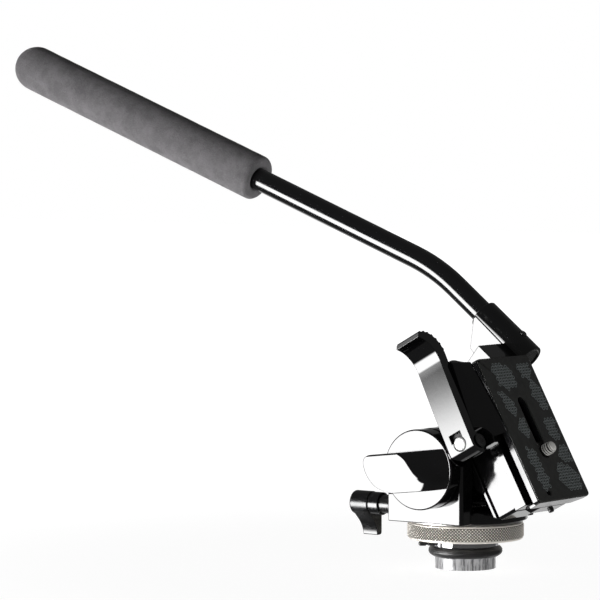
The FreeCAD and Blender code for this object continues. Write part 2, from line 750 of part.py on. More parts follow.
def paddle_section(reach, face):
    """The paddle cut square to Z: (X, Y) corners from its tip to the knob's rim."""
    top = f"-({face} + paddle_height)"
    return [(f"-({reach})", f"{top} + 4.5"),
            (f"-({reach}) + 1.5", top),
            ("-paddle_reach * 0.1", top),
            ("knob_radius * 0.4", f"{top} + paddle_height * 0.45"),
            ("knob_radius * 0.85", f"-{face} - 0.4"),
            ("knob_radius * 0.85", f"-{face} + 1"),
            (f"-({reach}) * 0.6", f"-{face} + 1")]


# ---------------------------------------------------------------------------- tilting hub

def make_tilt_hub():
    hub = new_piece("tilt_hub", tilted=True)
    cylinder(hub, "round", "hub_radius", "2 * hub_half_width", ("0", "hub_half_width", "0"), "-Y")
    lip_bottom = "hub_top - lip_thickness"
    flank = [("0.735 * hub_radius", "lip_root"), ("0.95 * hub_radius", "lip_root"),
             ("1.23 * hub_radius", "hub_top - 1.4"), ("1.23 * hub_radius", "hub_top")]
    rear = [(f"-{x}", z) for x, z in reversed(flank)]
    prism(hub, "neck", "Y", "-hub_half_width", "hub_half_width", flank + rear)
    prism(hub, "lip", "Y", "-platform_half_width", "platform_half_width", [
        (f"-{LONG_HALF}", "hub_top"), (LONG_HALF, "hub_top"),
        (f"{LONG_HALF} - 1.4", lip_bottom), (f"-{LONG_HALF} + 1.4", lip_bottom)])
    prism(hub, "flat_top", "Y", "-hub_half_width - 1", "hub_half_width + 1", [
        ("-hub_radius", "hub_top"), ("hub_radius", "hub_top"),
        ("hub_radius", "hub_radius + hub_top"), ("-hub_radius", "hub_radius + hub_top")], cut=True)
    cylinder(hub, "bush_bore", HUB_BORE, "2 * hub_half_width + 2", ("0", "hub_half_width + 1", "0"),
             "-Y", cut=True)
    for number, (x, y) in enumerate(PLATFORM_SCREWS):
        cylinder(hub, f"screw_hole_{number}", "screw_radius + press_fit", "platform_screw_length",
                 (x, y, f"{SCREW_SEAT} - platform_screw_length - 0.3"), cut=True)

    bush = new_piece("hub_bush", tilted=True)
    cylinder(bush, "outside", f"{HUB_BORE} - press_fit", "2 * hub_half_width",
             ("0", "hub_half_width", "0"), "-Y")
    cylinder(bush, "bore", "axle_radius + running_fit", "2 * hub_half_width",
             ("0", "hub_half_width", "0"), "-Y", cut=True)


def make_platform():
    slab = new_piece("camera_platform", tilted=True)
    prism(slab, "tray", "Z", "tray_bottom", "platform_top", [
        ("-slab_half_length", "-platform_half_width"),
        (f"{TRAY_FRONT} - 1", "-platform_half_width"),
        (TRAY_FRONT, "-platform_half_width + 1"),
        (TRAY_FRONT, "platform_half_width - 1"),
        (f"{TRAY_FRONT} - 1", "platform_half_width"),
        ("-slab_half_length", "platform_half_width")])
    prism(slab, "slab", "Z", "slab_bottom", "tray_bottom + 1", [
        ("-slab_half_length", "-platform_half_width"),
        ("slab_half_length - platform_chamfer", "-platform_half_width"),
        ("slab_half_length", "-platform_half_width + platform_chamfer"),
        ("slab_half_length", "0"),
        ("slab_cut_back", "platform_half_width"),
        ("-slab_half_length", "platform_half_width")])
    prism(slab, "foot", "Z", "hub_top", "slab_bottom", [
        ("-slab_half_length + slab_inset", "-platform_half_width + slab_inset"),
        ("slab_half_length - slab_inset - 2", "-platform_half_width + slab_inset"),
        ("slab_half_length - slab_inset - 2", "-slab_inset"),
        ("slab_cut_back - slab_inset", "platform_half_width - slab_inset"),
        ("-slab_half_length + slab_inset", "platform_half_width - slab_inset")])
    for number, (x, y) in enumerate(PLATFORM_SCREWS):
        cylinder(slab, f"screw_hole_{number}", "screw_radius + press_fit", "platform_top",
                 (x, y, "hub_top"), cut=True)
        cylinder(slab, f"screw_head_hole_{number}", "screw_head_radius + 0.2", "platform_top",
                 (x, y, SCREW_SEAT), cut=True)
    for number, x in enumerate(GUIDE_PLACES):
        cylinder(slab, f"guide_hole_{number}", "guide_radius + press_fit",
                 "platform_half_width - guide_inner + 1",
                 (x, "-guide_inner + 0.2", "guide_height"), "-Y", cut=True)
    for number, y in enumerate(BRACKET_SCREWS):
        cylinder(slab, f"bracket_hole_{number}", "screw_radius + press_fit", "12",
                 ("-slab_half_length - 1", y, "bracket_screw_z"), "X", cut=True)
    for number, x in enumerate(FIXED_JAW_SCREWS):
        cylinder(slab, f"jaw_hole_{number}", "screw_radius + press_fit - 0.4", "6.2",
                 (x, FIXED_JAW_SCREW_Y, "platform_top - 6.2"), cut=True)
    cylinder(slab, "catch_hole", "catch_radius + running_fit", "catch_depth + catch_reach + 1",
             (f"{TRAY_FRONT} - catch_depth - catch_reach", "catch_y", "catch_height"), "X", cut=True)


def make_platform_fasteners():
    group("platform_screws", [
        bolt(f"platform_screw_{number}", (x, y, f"{SCREW_SEAT} + 0.5"), "-Z",
             (x, y, f"{SCREW_SEAT} + screw_head_height"), "screw_head_radius", "screw_head_height",
             "screw_radius", "platform_screw_length")
        for number, (x, y) in enumerate(PLATFORM_SCREWS)], tilted=True)

    pin = new_piece("plate_catch", tilted=True)
    cylinder(pin, "pin", "catch_radius", "catch_depth + catch_reach",
             (f"{TRAY_FRONT} - catch_depth", "catch_y", "catch_height"), "X")
    tip = size("slab_half_length") + size("tray_overhang") + size("catch_reach")
    soften(pin, "tip", "Chamfer", "0.4", lambda edge: near(middle(edge).x, tip))


# ---------------------------------------------------------------------------- quick-release clamp

def make_fixed_jaw():
    jaw = new_piece("fixed_jaw", tilted=True)
    prism(jaw, "bar", "X", f"-{LONG_HALF}", LONG_HALF, [
        ("platform_half_width - 0.5", "platform_top"),
        ("foot_half_bottom + body_gap + 0.2", "platform_top"),
        ("foot_half_top + body_gap + 0.2", "plate_bottom - body_gap"),
        ("platform_half_width - 0.5", "plate_bottom - body_gap")])
    for number, x in enumerate(FIXED_JAW_SCREWS):
        cylinder(jaw, f"screw_hole_{number}", "screw_radius + press_fit - 0.4", "plate_bottom",
                 (x, FIXED_JAW_SCREW_Y, "platform_top"), cut=True)
    group("fixed_jaw_screws", [
        simple("Cylinder", f"fixed_jaw_screw_{number}",
               {"Radius": "screw_radius - 0.4", "Height": "plate_bottom - body_gap - platform_top + 5.8"},
               (x, FIXED_JAW_SCREW_Y, "platform_top - 6"))
        for number, x in enumerate(FIXED_JAW_SCREWS)], tilted=True)


def make_moving_jaw():
    jaw = new_piece("moving_jaw", tilted=True)
    inner = "(platform_half_width + body_gap)"
    prism(jaw, "bar", "X", f"-{JAW_REAR}", "jaw_front", [
        ("-jaw_outer", "jaw_bottom"),
        ("-jaw_outer", "jaw_crease_height - jaw_outer_drop"),
        ("-jaw_crease_y", "jaw_crease_height"),
        (f"-{inner}", "jaw_crease_height"),
        (f"-{inner}", "jaw_bottom")])
    prism(jaw, "tooth", "X", f"-{JAW_REAR} + 3", "jaw_front - 3", [
        (f"-{inner} - 1", "plate_bottom - body_gap - 2"),
        (f"-{inner} - 1", "foot_bottom"),
        ("-foot_half_bottom - body_gap - 0.1", "foot_bottom"),
        ("-foot_half_top - body_gap - 0.1", "plate_bottom - body_gap"),
        (f"-{inner}", "plate_bottom - body_gap")])
    loft(jaw, "ridge", "X", [
        (level, [(f"-{inner}", f"jaw_crease_height + {rise}"),
                 ("-jaw_crease_y", "jaw_crease_height"),
                 ("-jaw_crease_y", "jaw_crease_height - 2"),
                 (f"-{inner}", "jaw_crease_height - 2")])
        for level, rise in ((f"-{JAW_REAR}", "jaw_edge_rear_rise"),
                            ("jaw_edge_end", "jaw_edge_front_rise"))])
    prism(jaw, "rear_slope", "Y", "-jaw_outer - 1", "-jaw_crease_y + 9", [
        (f"-{JAW_REAR} - 1", "jaw_crease_height - jaw_end_slope"),
        (f"-{JAW_REAR}", "jaw_crease_height - jaw_end_slope"),
        (f"-{JAW_REAR} + jaw_end_slope", "jaw_crease_height + jaw_end_slope"),
        (f"-{JAW_REAR} - 1", "jaw_crease_height + jaw_end_slope")], cut=True)
    # the outer face follows the clamp lever, and the pivot barrel has room
    side = primitive(jaw, "Box", "outer_taper", {"Length": f"{JAW_REAR} + jaw_front + 20", "Width": "20",
                                                 "Height": "jaw_crease_height"},
                     ("0", "-jaw_outer", "jaw_bottom - 5"), cut=True)
    side.Placement.Rotation = Rotation(Vector(0, 0, 1), 180 - size("jaw_taper"))
    cylinder(jaw, "ear", "barrel_radius", "ear_top - jaw_bottom", ("pivot_x", "pivot_y", "jaw_bottom"))
    cylinder(jaw, "barrel_room", "barrel_radius + body_gap", "40", ("pivot_x", "pivot_y", "ear_top"),
             cut=True)
    cylinder(jaw, "pivot_hole", "pivot_radius + press_fit", "5",
             ("pivot_x", "pivot_y", "jaw_bottom - 1"), cut=True)
    for number, x in enumerate(GUIDE_PLACES):
        cylinder(jaw, f"guide_hole_{number}", "guide_radius + running_fit", "jaw_outer",
                 (x, "-platform_half_width", "guide_height"), "-Y", cut=True)

    pivot = new_piece("lever_pivot", tilted=True)
    cylinder(pivot, "pin", "pivot_radius", "barrel_top + body_gap + 0.1 - jaw_bottom",
             ("pivot_x", "pivot_y", "jaw_bottom"))
    cylinder(pivot, "head", "pivot_head_radius", "0.9", ("pivot_x", "pivot_y", "barrel_top + body_gap"))

    group("guide_pins", [
        simple("Cylinder", f"guide_pin_{number}", {"Radius": "guide_radius",
                                                   "Height": f"{reach} - guide_inner"},
               (x, "-guide_inner", "guide_height"), "-Y")
        for number, (x, reach) in enumerate(zip(GUIDE_PLACES, ("guide_outer", "guide_outer - 3.5")))],
        tilted=True)


def make_clamp_lever():
    """Flat lever beside the jaw, whose free end curls outward."""
    lever = new_piece("clamp_lever", tilted=True)
    sketch = new_sketch(lever, "blade", "Z", "lever_bottom")
    pivot_x, outer, inner = size("pivot_x"), -size("lever_outer"), -size("lever_inner")
    heel = Vector(pivot_x + 0.3 * size("barrel_radius"), outer, 0)
    bend = Vector(pivot_x - size("lever_straight"), outer + size("lever_lean"), 0)
    tip_outer = bend - Vector(size("curl_reach"), size("curl_out"), 0)
    tip_inner = tip_outer + Vector(-size("curl_tip_back"), size("curl_tip_in"), 0)
    root = Vector(pivot_x, inner, 0)
    root_heel = Vector(heel.x, inner, 0)
    shoulder = Vector(pivot_x - size("shoulder_back"), inner + size("shoulder_lean"), 0)
    items = [Part.LineSegment(heel, bend),
             tangent_arc(heel, bend, tip_outer),
             Part.LineSegment(tip_outer, tip_inner),
             tangent_arc(root, shoulder, tip_inner),
             Part.LineSegment(shoulder, root),
             Part.LineSegment(root, root_heel),
             Part.LineSegment(root_heel, heel)]
    for item in items:
        sketch.addGeometry(item)
    extrude(lever, "blade", sketch, "lever_top - lever_bottom", cut=False)
    cylinder(lever, "barrel", "barrel_radius", "barrel_top - barrel_bottom",
             ("pivot_x", "pivot_y", "barrel_bottom"))
    cylinder(lever, "ear_room", "barrel_radius + body_gap", "barrel_bottom - lever_bottom + 1",
             ("pivot_x", "pivot_y", "lever_bottom - 1"), cut=True)
    cylinder(lever, "pivot_bore", "pivot_radius + running_fit", "40",
             ("pivot_x", "pivot_y", "lever_bottom - 1"), cut=True)
    button_back = "-lever_outer - button_proud + button_length"
    cylinder(lever, "button_hole", "button_radius + running_fit", "button_length + button_travel + 1",
             ("button_x", f"{button_back} + button_travel + 0.2", "button_z"), "-Y", cut=True)
    primitive(lever, "Box", "window",
              {"Length": "window_length", "Width": "window_depth", "Height": "window_height"},
              ("button_x - window_length * 1.43", "-lever_outer", "button_z - window_height * 0.6"),
              cut=True)

    button = new_piece("lever_button", tilted=True)
    cylinder(button, "button", "button_radius", "button_length",
             ("button_x", button_back, "button_z"), "-Y")
    face = -size("lever_outer") - size("button_proud")
    soften(button, "edge", "Fillet", "0.5", lambda edge: near(middle(edge).y, face))


def make_quick_release_plate():
    plate = new_piece("quick_release_plate", tilted=True)
    prism(plate, "foot", "X", f"-{PLATE_REAR}", f"{TRAY_FRONT} - 1", [
        ("-foot_half_bottom", "foot_bottom"), ("foot_half_bottom", "foot_bottom"),
        ("foot_half_top", "plate_bottom"), ("-foot_half_top", "plate_bottom")])
    prism(plate, "deck", "Z", "plate_bottom", PAD_BOTTOM, plate_outline("0"))
    soften(plate, "corners", "Fillet", "plate_corner", plate_corner_edge)
    prism(plate, "front_wall", "X", f"{TRAY_FRONT} - front_wall", TRAY_FRONT, [
        ("-plate_half_width + plate_corner", "foot_bottom"),
        ("plate_half_width - plate_corner - front_wall_cut", "foot_bottom"),
        ("plate_half_width - plate_corner", "plate_bottom"),
        ("-plate_half_width + plate_corner", "plate_bottom")])
    cut_slot(plate, "foot_bottom - 1", "plate_bottom + 4")
    primitive(plate, "Box", "knob_room", {"Length": "slot_rear + slot_front + 8",
                                          "Width": "2 * screw_knob_radius + 0.6",
                                          "Height": KNOB_ROOM},
              ("-slot_rear - 4", "-screw_knob_radius - 0.3", "foot_bottom - 1"), cut=True)
    cylinder(plate, "locating_hole", "pin_hole_radius", "8",
             (PIN_HOLE_X, "pin_hole_y", "plate_bottom - 2"), cut=True)

    pad = new_piece("plate_rubber_pad", tilted=True)
    prism(pad, "sheet", "Z", PAD_BOTTOM, PAD_TOP, plate_outline("pad_margin"))
    cut_slot(pad, "plate_bottom", f"{PAD_BOTTOM} + 4")
    cylinder(pad, "locating_hole", "pin_hole_radius + 0.2", "8",
             (PIN_HOLE_X, "pin_hole_y", "plate_bottom"), cut=True)


def plate_outline(margin):
    rear, front = f"-{PLATE_REAR} + {margin}", f"{TRAY_FRONT} - {margin}"
    side = f"(plate_half_width - {margin})"
    return [(rear, f"-{side}"), (front, f"-{side}"), (front, side), (rear, side)]


def plate_corner_edge(edge):
    """The upright edges at the deck's four corners."""
    upright = edge.BoundBox.ZLength > size("plate_metal") * 0.9 and edge.BoundBox.XLength < 0.01
    return upright and near(abs(middle(edge).y), size("plate_half_width"))


def cut_slot(body, low, high):
    """The camera screw's slot: a round-ended channel along X."""
    middle_width = "slot_width / 2"
    height = f"({high}) - ({low})"
    primitive(body, "Box", "slot", {"Length": "slot_rear + slot_front - slot_width", "Width": "slot_width",
                                    "Height": height},
              (f"-slot_rear + {middle_width}", f"-{middle_width}", low), cut=True)
    for end, x in (("rear", f"-slot_rear + {middle_width}"), ("front", f"slot_front - {middle_width}")):
        cylinder(body, f"slot_{end}", middle_width, height, (x, "0", low), cut=True)


def make_camera_screw():
    screw = new_piece("camera_screw", tilted=True)
    head_bottom = "(foot_bottom + 0.3)"
    cylinder(screw, "head", "screw_knob_radius", "screw_knob_height", ("camera_screw_x", "0", head_bottom))
    cylinder(screw, "neck", "camera_neck_radius", f"{PAD_TOP} + thread_lift - {head_bottom}",
             ("camera_screw_x", "0", head_bottom))
    cylinder(screw, "thread", "camera_screw_radius", f"camera_screw_tip - {PAD_TOP} - thread_lift",
             ("camera_screw_x", "0", f"{PAD_TOP} + thread_lift"))
    tip = size("camera_screw_tip")
    soften(screw, "tip", "Chamfer", "0.6", lambda edge: near(middle(edge).z, tip))
    primitive(screw, "Box", "coin_slot",
              {"Length": "2 * screw_knob_radius + 2", "Width": "1.6", "Height": "2"},
              ("camera_screw_x - screw_knob_radius - 1", "-0.8", f"{head_bottom} - 0.6"), cut=True)

    washer = new_piece("screw_retainer", tilted=True)
    washer_bottom = f"{head_bottom} + screw_knob_height + 0.1"
    cylinder(washer, "outside", "screw_knob_radius - 0.4", "0.5", ("camera_screw_x", "0", washer_bottom))
    cylinder(washer, "bore", "camera_neck_radius + running_fit", "0.5",
             ("camera_screw_x", "0", washer_bottom), cut=True)


# ---------------------------------------------------------------------------- handle

def along_sleeve(distance, lift="0"):
    """A place on the sleeve's axis, from its rear rim forward, lifted square to it."""
    return (f"sleeve_rim_x + ({distance}) * {SLEEVE_COS} - ({lift}) * {SLEEVE_SIN}", "handle_y",
            f"sleeve_rim_z + ({distance}) * {SLEEVE_SIN} + ({lift}) * {SLEEVE_COS}")


def make_handle_bracket():
    bracket = new_piece("handle_bracket", tilted=True)
    cylinder(bracket, "sleeve", "sleeve_radius", "sleeve_length", along_sleeve("0"), SLEEVE_TURN)
    prism(bracket, "web", "Y", "web_inner", "web_outer", [
        ("sleeve_rim_x + 1", "sleeve_rim_z - 1.8"),
        ("sleeve_rim_x + web_corner_x", "sleeve_rim_z - web_corner_drop"),
        ("-slab_half_length", "slab_bottom - 0.6"),
        ("-slab_half_length", "sleeve_rim_z + web_rise"),
        ("sleeve_rim_x + 1", "sleeve_rim_z")])
    prism(bracket, "block", "Y", "block_inner", "web_inner + 1", [
        ("-slab_half_length", "block_height + 4.2"),
        ("-block_back", "block_height"),
        (f"-block_back + block_depth * {SLEEVE_SIN}", f"block_height - block_depth * {SLEEVE_COS}"),
        ("-slab_half_length", "slab_bottom + 0.2")])
    cylinder(bracket, "bore", "tube_radius + press_fit", "sleeve_length + 2", along_sleeve("-1"),
             SLEEVE_TURN, cut=True)
    cylinder(bracket, "set_screw_hole", "set_screw_radius + press_fit", "sleeve_radius",
             along_sleeve("set_screw_along", "tube_radius - 0.5"), "-sleeve_slope", cut=True)
    for number, y in enumerate(BRACKET_SCREWS):
        cylinder(bracket, f"screw_hole_{number}", "screw_radius + press_fit", "14",
                 ("-slab_half_length - 13", y, "bracket_screw_z"), "X", cut=True)
        cylinder(bracket, f"head_hole_{number}", "screw_head_radius + 0.2", "12",
                 (f"{BRACKET_SEAT} - 12", y, "bracket_screw_z"), "X", cut=True)

    group("bracket_screws", [
        bolt(f"bracket_screw_{number}", (f"{BRACKET_SEAT} - 0.5", y, "bracket_screw_z"), "X",
             (f"{BRACKET_SEAT} - 2.6", y, "bracket_screw_z"), "screw_head_radius", "2.6",
             "screw_radius", "14")
        for number, y in enumerate(BRACKET_SCREWS)], tilted=True)

    screw = new_piece("handle_set_screw", tilted=True)
    cylinder(screw, "shank", "set_screw_radius", "sleeve_radius - tube_radius + 0.7",
             along_sleeve("set_screw_along", "tube_radius + 0.1"), "-sleeve_slope")
    document.recompute()
    top = max(edge.CenterOfMass.z for edge in screw.Tip.Shape.Edges if edge.Closed)
    soften(screw, "dome", "Fillet", "0.8", lambda edge: edge.Closed and near(edge.CenterOfMass.z, top))

    plug = new_piece("sleeve_plug", tilted=True)
    cylinder(plug, "plug", "tube_radius", "sleeve_length - tube_in_sleeve - 0.7",
             along_sleeve("tube_in_sleeve + 0.2"), SLEEVE_TURN)


def make_handle_tube():
    """Bent tube: straight out of the sleeve, one bend, straight into the grip."""
    tube = new_piece("handle_tube", tilted=True)
    slope, grip_slope = math.radians(size("sleeve_slope")), math.radians(size("grip_slope"))
    toward_grip = Vector(-math.cos(grip_slope), -math.sin(grip_slope), 0)
    out_of_sleeve = Vector(-math.cos(slope), -math.sin(slope), 0)
    tangent = size("bend_radius") * math.tan((grip_slope - slope) / 2)
    rim = Vector(size("sleeve_rim_x"), size("sleeve_rim_z"), 0)
    start = rim - out_of_sleeve * size("tube_in_sleeve")
    corner = rim + out_of_sleeve * size("bend_offset")
    bend_start = corner - out_of_sleeve * tangent
    bend_end = corner + toward_grip * tangent
    halfway = (slope + grip_slope) / 2
    centre = bend_start + Vector(math.sin(slope), -math.cos(slope), 0) * size("bend_radius")
    bend_middle = centre + Vector(-math.sin(halfway), math.cos(halfway), 0) * size("bend_radius")
    end = corner + toward_grip * (size("grip_offset") + size("tube_in_grip"))

    path = new_sketch(tube, "path", "Y", "handle_y")
    for item in (Part.LineSegment(start, bend_start), Part.Arc(bend_start, bend_middle, bend_end),
                 Part.LineSegment(bend_end, end)):
        path.addGeometry(item)
    profile = new_sketch(tube, "profile", "X", start.x)
    profile.AttachmentOffset = Placement(Vector(size("handle_y"), start.y, start.x),
                                         Rotation(Vector(1, 0, 0), -size("sleeve_slope")))
    for number, radius in enumerate(("tube_radius", "tube_radius - tube_wall")):
        rough_radius = size("tube_radius") - number * size("tube_wall")
        profile.addGeometry(Part.Circle(Vector(), Vector(0, 0, 1), rough_radius))
        profile.addConstraint(Sketcher.Constraint("Coincident", number, 3, -1, 1))
        dimension = profile.addConstraint(Sketcher.Constraint("Radius", number, rough_radius))
        bind(profile, f"Constraints[{dimension}]", radius)
    pipe = tube.newObject("PartDesign::AdditivePipe", "handle_tube_pipe")
    pipe.Profile = profile
    pipe.Spine = path
    return corner


def make_foam_grip(corner):
    grip = new_piece("foam_grip", tilted=True)
    turn = "-90 - grip_slope"
    run = "cos(grip_slope * 1deg)", "sin(grip_slope * 1deg)"

    def along_grip(distance):
        return (f"{corner.x} - ({distance}) * {run[0]}", "handle_y",
                f"{corner.y} - ({distance}) * {run[1]}")

    cylinder(grip, "foam", "grip_radius", "grip_length - grip_radius", along_grip("grip_offset"), turn)
    near_end = document_point(along_grip_start(corner))
    soften(grip, "edge", "Fillet", "grip_edge",
           lambda edge: edge.Closed and (edge.CenterOfMass - near_end).Length < 0.1)
    primitive(grip, "Sphere", "end", {"Radius": "grip_radius"},
              along_grip("grip_offset + grip_length - grip_radius"))
    cylinder(grip, "bore", "tube_radius + press_fit", "tube_in_grip + 1", along_grip("grip_offset - 0.5"),
             turn, cut=True)


def along_grip_start(corner):
    slope = math.radians(size("grip_slope"))
    return corner + Vector(-math.cos(slope), -math.sin(slope), 0) * size("grip_offset")


def document_point(point):
    """A point of the handle's plane, from a sketch's (x, y) to the document's (x, y, z)."""
    return Vector(point.x, size("handle_y"), point.y)


# ---------------------------------------------------------------------------- build, check, write

make_column_tube()
make_rubber_ring()
make_spigot_neck()
make_collar_lock_pin()
make_mounting_stud()
make_base_core()
make_knurled_collar()
make_pan_spindle()
make_pan_yoke()
make_pan_bush()
make_tilt_axle()
make_axle_cap()
make_drag_discs()
make_pan_lock()
make_tilt_lock_knob()
make_tilt_hub()
make_platform()
make_platform_fasteners()
make_fixed_jaw()
make_moving_jaw()
make_clamp_lever()
make_quick_release_plate()
make_camera_screw()
make_handle_bracket()
make_foam_grip(make_handle_tube())
document.recompute()

for item in document.Objects:
    if {"Invalid", "Error"} & set(item.State):
        raise RuntimeError(f"{item.Label} failed: {item.State}")
for cut in cuts:
    if cut.Shape.Volume > cut.BaseFeature.Shape.Volume - 0.01:
        raise RuntimeError(f"{cut.Label} cuts nothing")
os.makedirs("parts", exist_ok=True)
for piece in pieces:
    if piece.Shape.isNull() or not piece.Shape.isValid():
        raise RuntimeError(f"{piece.Label} has no valid shape")
    piece.Shape.exportStep(f"parts/{piece.Label}.step")
    print(piece.Label, len(piece.Shape.Solids), round(piece.Shape.Volume, 1))
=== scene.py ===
"""Looks of the pan and tilt video head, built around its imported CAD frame.

Points of the pieces are in millimetres in the CAD frame (Z up, +X where a camera on the head
looks) until add_piece turns them into metres; materials and the stage are in metres.  Pieces of
the tilting platform are drawn level, with Z square to the platform, and ON_TILT lays them on the
rest tilt.
"""
import math
import bmesh
import bpy
from mathutils import Matrix, Vector, noise


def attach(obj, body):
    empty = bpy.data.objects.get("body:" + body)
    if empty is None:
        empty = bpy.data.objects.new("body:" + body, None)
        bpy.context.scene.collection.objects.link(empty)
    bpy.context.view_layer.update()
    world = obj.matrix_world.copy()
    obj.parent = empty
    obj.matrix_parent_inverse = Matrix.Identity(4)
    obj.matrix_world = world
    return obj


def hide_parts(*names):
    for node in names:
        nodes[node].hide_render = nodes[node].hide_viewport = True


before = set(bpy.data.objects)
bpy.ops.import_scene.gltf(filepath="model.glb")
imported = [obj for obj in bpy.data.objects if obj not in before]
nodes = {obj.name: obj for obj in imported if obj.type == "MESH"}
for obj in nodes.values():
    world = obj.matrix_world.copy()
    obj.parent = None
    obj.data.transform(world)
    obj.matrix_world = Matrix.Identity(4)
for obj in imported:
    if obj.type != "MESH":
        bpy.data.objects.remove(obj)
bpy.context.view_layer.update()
scene = bpy.context.scene

MM = 0.001
TURN = 2 * math.pi
AXIS_Z = 53.6
REST_TILT = 61.3
KNOB_DROOP = -6.7
COLLAR_RADIUS, COLLAR_BOTTOM, COLLAR_TOP = 30.0, 15.3, 24.0

# On the level platform: the pad's top, the camera screw, and the clamp lever's pivot and button.
PAD_TOP = 46.4
SCREW_AT = (15.0, 0.0)
SCREW_TIP = 52.9
PIVOT_AT = (2.0, -37.6)
BUTTON_X, BUTTON_Z = -0.2, 30.1


def about_axle(angle):
    """Turning by an angle in degrees about the tilt axle."""
    return Matrix.Translation((0, 0, AXIS_Z * MM)) @ Matrix.Rotation(math.radians(angle), 4, "Y")


UPRIGHT = Matrix.Identity(4)
ON_TILT = about_axle(REST_TILT)
ON_KNOB = about_axle(KNOB_DROOP)

# ---------------------------------------------------------------------------- node helpers


class Paint:
    """A procedural material: its Principled shader and short ways to wire nodes into it."""

    def __init__(self, name, colour, roughness, metallic=0.0, **sockets):
        self.material = bpy.data.materials.new(name)
        self.material.use_nodes = True
        self.tree = self.material.node_tree
        self.shader = self.tree.nodes["Principled BSDF"]
        self.shader.inputs["Base Color"].default_value = (*colour, 1)
        self.shader.inputs["Roughness"].default_value = roughness
        self.shader.inputs["Metallic"].default_value = metallic
        for socket, value in sockets.items():
            self.shader.inputs[socket.replace("_", " ")].default_value = value
        coordinates = self.node("TexCoord")
        self.place = coordinates.outputs["Object"]

    def node(self, kind, **settings):
        item = self.tree.nodes.new("ShaderNode" + kind)
        for key, value in settings.items():
            setattr(item, key, value)
        return item

    def link(self, source, target):
        self.tree.links.new(source, target)

    def scaled(self, stretch):
        """The object's coordinates, stretched along its axes."""
        mapping = self.node("Mapping")
        self.link(self.place, mapping.inputs["Vector"])
        mapping.inputs["Scale"].default_value = stretch
        return mapping.outputs["Vector"]

    def noise(self, scale, detail=3.0, roughness=0.5, stretch=None):
        item = self.node("TexNoise")
        self.link(self.place if stretch is None else self.scaled(stretch), item.inputs["Vector"])
        item.inputs["Scale"].default_value = scale
        item.inputs["Detail"].default_value = detail
        item.inputs["Roughness"].default_value = roughness
        return item.outputs["Fac"]

    def cells(self, scale):
        item = self.node("TexVoronoi")
        self.link(self.place, item.inputs["Vector"])
        item.inputs["Scale"].default_value = scale
        return item.outputs["Distance"]

    def from_axis(self, start, direction):
        """How far the object's coordinates are from a line."""
        offset = self.node("VectorMath", operation="SUBTRACT")
        self.link(self.place, offset.inputs[0])
        offset.inputs[1].default_value = start
        cross = self.node("VectorMath", operation="CROSS_PRODUCT")
        self.link(offset.outputs["Vector"], cross.inputs[0])
        cross.inputs[1].default_value = direction
        length = self.node("VectorMath", operation="LENGTH")
        self.link(cross.outputs["Vector"], length.inputs[0])
        return length.outputs["Value"]

    def spread(self, source, low, high, to_low, to_high):
        """Map a range of values to another, smoothly and clamped."""
        item = self.node("MapRange", interpolation_type="SMOOTHSTEP")
        self.link(source, item.inputs["Value"])
        for socket, value in (("From Min", low), ("From Max", high), ("To Min", to_low), ("To Max", to_high)):
            item.inputs[socket].default_value = value
        return item.outputs["Result"]

    def add(self, first, second, operation="ADD"):
        item = self.node("Math", operation=operation)
        self.link(first, item.inputs[0])
        self.link(second, item.inputs[1])
        return item.outputs[0]

    def colour(self, factor, first, second):
        """Base colour between two, by a factor."""
        item = self.node("Mix", data_type="RGBA")
        self.link(factor, item.inputs["Factor"])
        item.inputs["A"].default_value = (*first, 1)
        item.inputs["B"].default_value = (*second, 1)
        self.link(item.outputs["Result"], self.shader.inputs["Base Color"])

    def roughen(self, source, low, high, to_low, to_high):
        self.link(self.spread(source, low, high, to_low, to_high), self.shader.inputs["Roughness"])

    def bump(self, height, depth, strength=1.0):
        """Bump from a height of 0 to 1 that stands for `depth` metres."""
        previous = self.shader.inputs["Normal"].links
        item = self.node("Bump")
        item.inputs["Strength"].default_value = strength
        item.inputs["Distance"].default_value = depth
        self.link(height, item.inputs["Height"])
        if previous:
            self.link(previous[0].from_socket, item.inputs["Normal"])
        self.link(item.outputs["Normal"], self.shader.inputs["Normal"])

    def worn_edges(self, base, worn):
        """Edges rubbed lighter, broken up by noise."""
        geometry = self.node("NewGeometry")
        edge = self.spread(geometry.outputs["Pointiness"], 0.57, 0.7, 0, 1)
        patchy = self.spread(self.noise(420, 4), 0.45, 0.7, 0, 1)
        self.colour(self.add(edge, patchy, "MULTIPLY"), base, worn)


def lacquer(name, colour, roughness, worn):
    """Gloss-black lacquer: faint orange peel, uneven gloss and rubbed edges."""
    paint = Paint(name, colour, roughness)
    paint.roughen(paint.noise(70, 5), 0.3, 0.75, roughness * 0.75, roughness * 1.6)
    paint.bump(paint.noise(380, 2), 0.000008, 0.3)
    paint.bump(paint.noise(2600, 2), 0.000002, 0.3)
    paint.worn_edges(colour, worn)
    return paint


def turned_metal(name, colour, roughness, depth=0.00002, metallic=1.0):
    """Machined metal with faint turning marks and a patchy sheen."""
    paint = Paint(name, colour, roughness, metallic)
    paint.roughen(paint.noise(120, 4), 0.3, 0.75, roughness * 0.8, roughness * 1.35)
    paint.bump(paint.noise(900, 3, stretch=(0.1, 0.1, 4)), depth, 0.5)
    tone = paint.spread(paint.noise(60, 4), 0.35, 0.7, 0, 1)
    paint.colour(tone, colour, tuple(channel * 0.82 for channel in colour))
    return paint


def make_polished_neck():
    """Polished metal whose faint upright facets break reflections into streaks."""
    paint = turned_metal("polished_neck", (0.6, 0.6, 0.61), 0.1, 0.000012)
    paint.bump(paint.noise(260, 2, stretch=(1, 1, 0.02)), 0.0012, 0.8)
    return paint


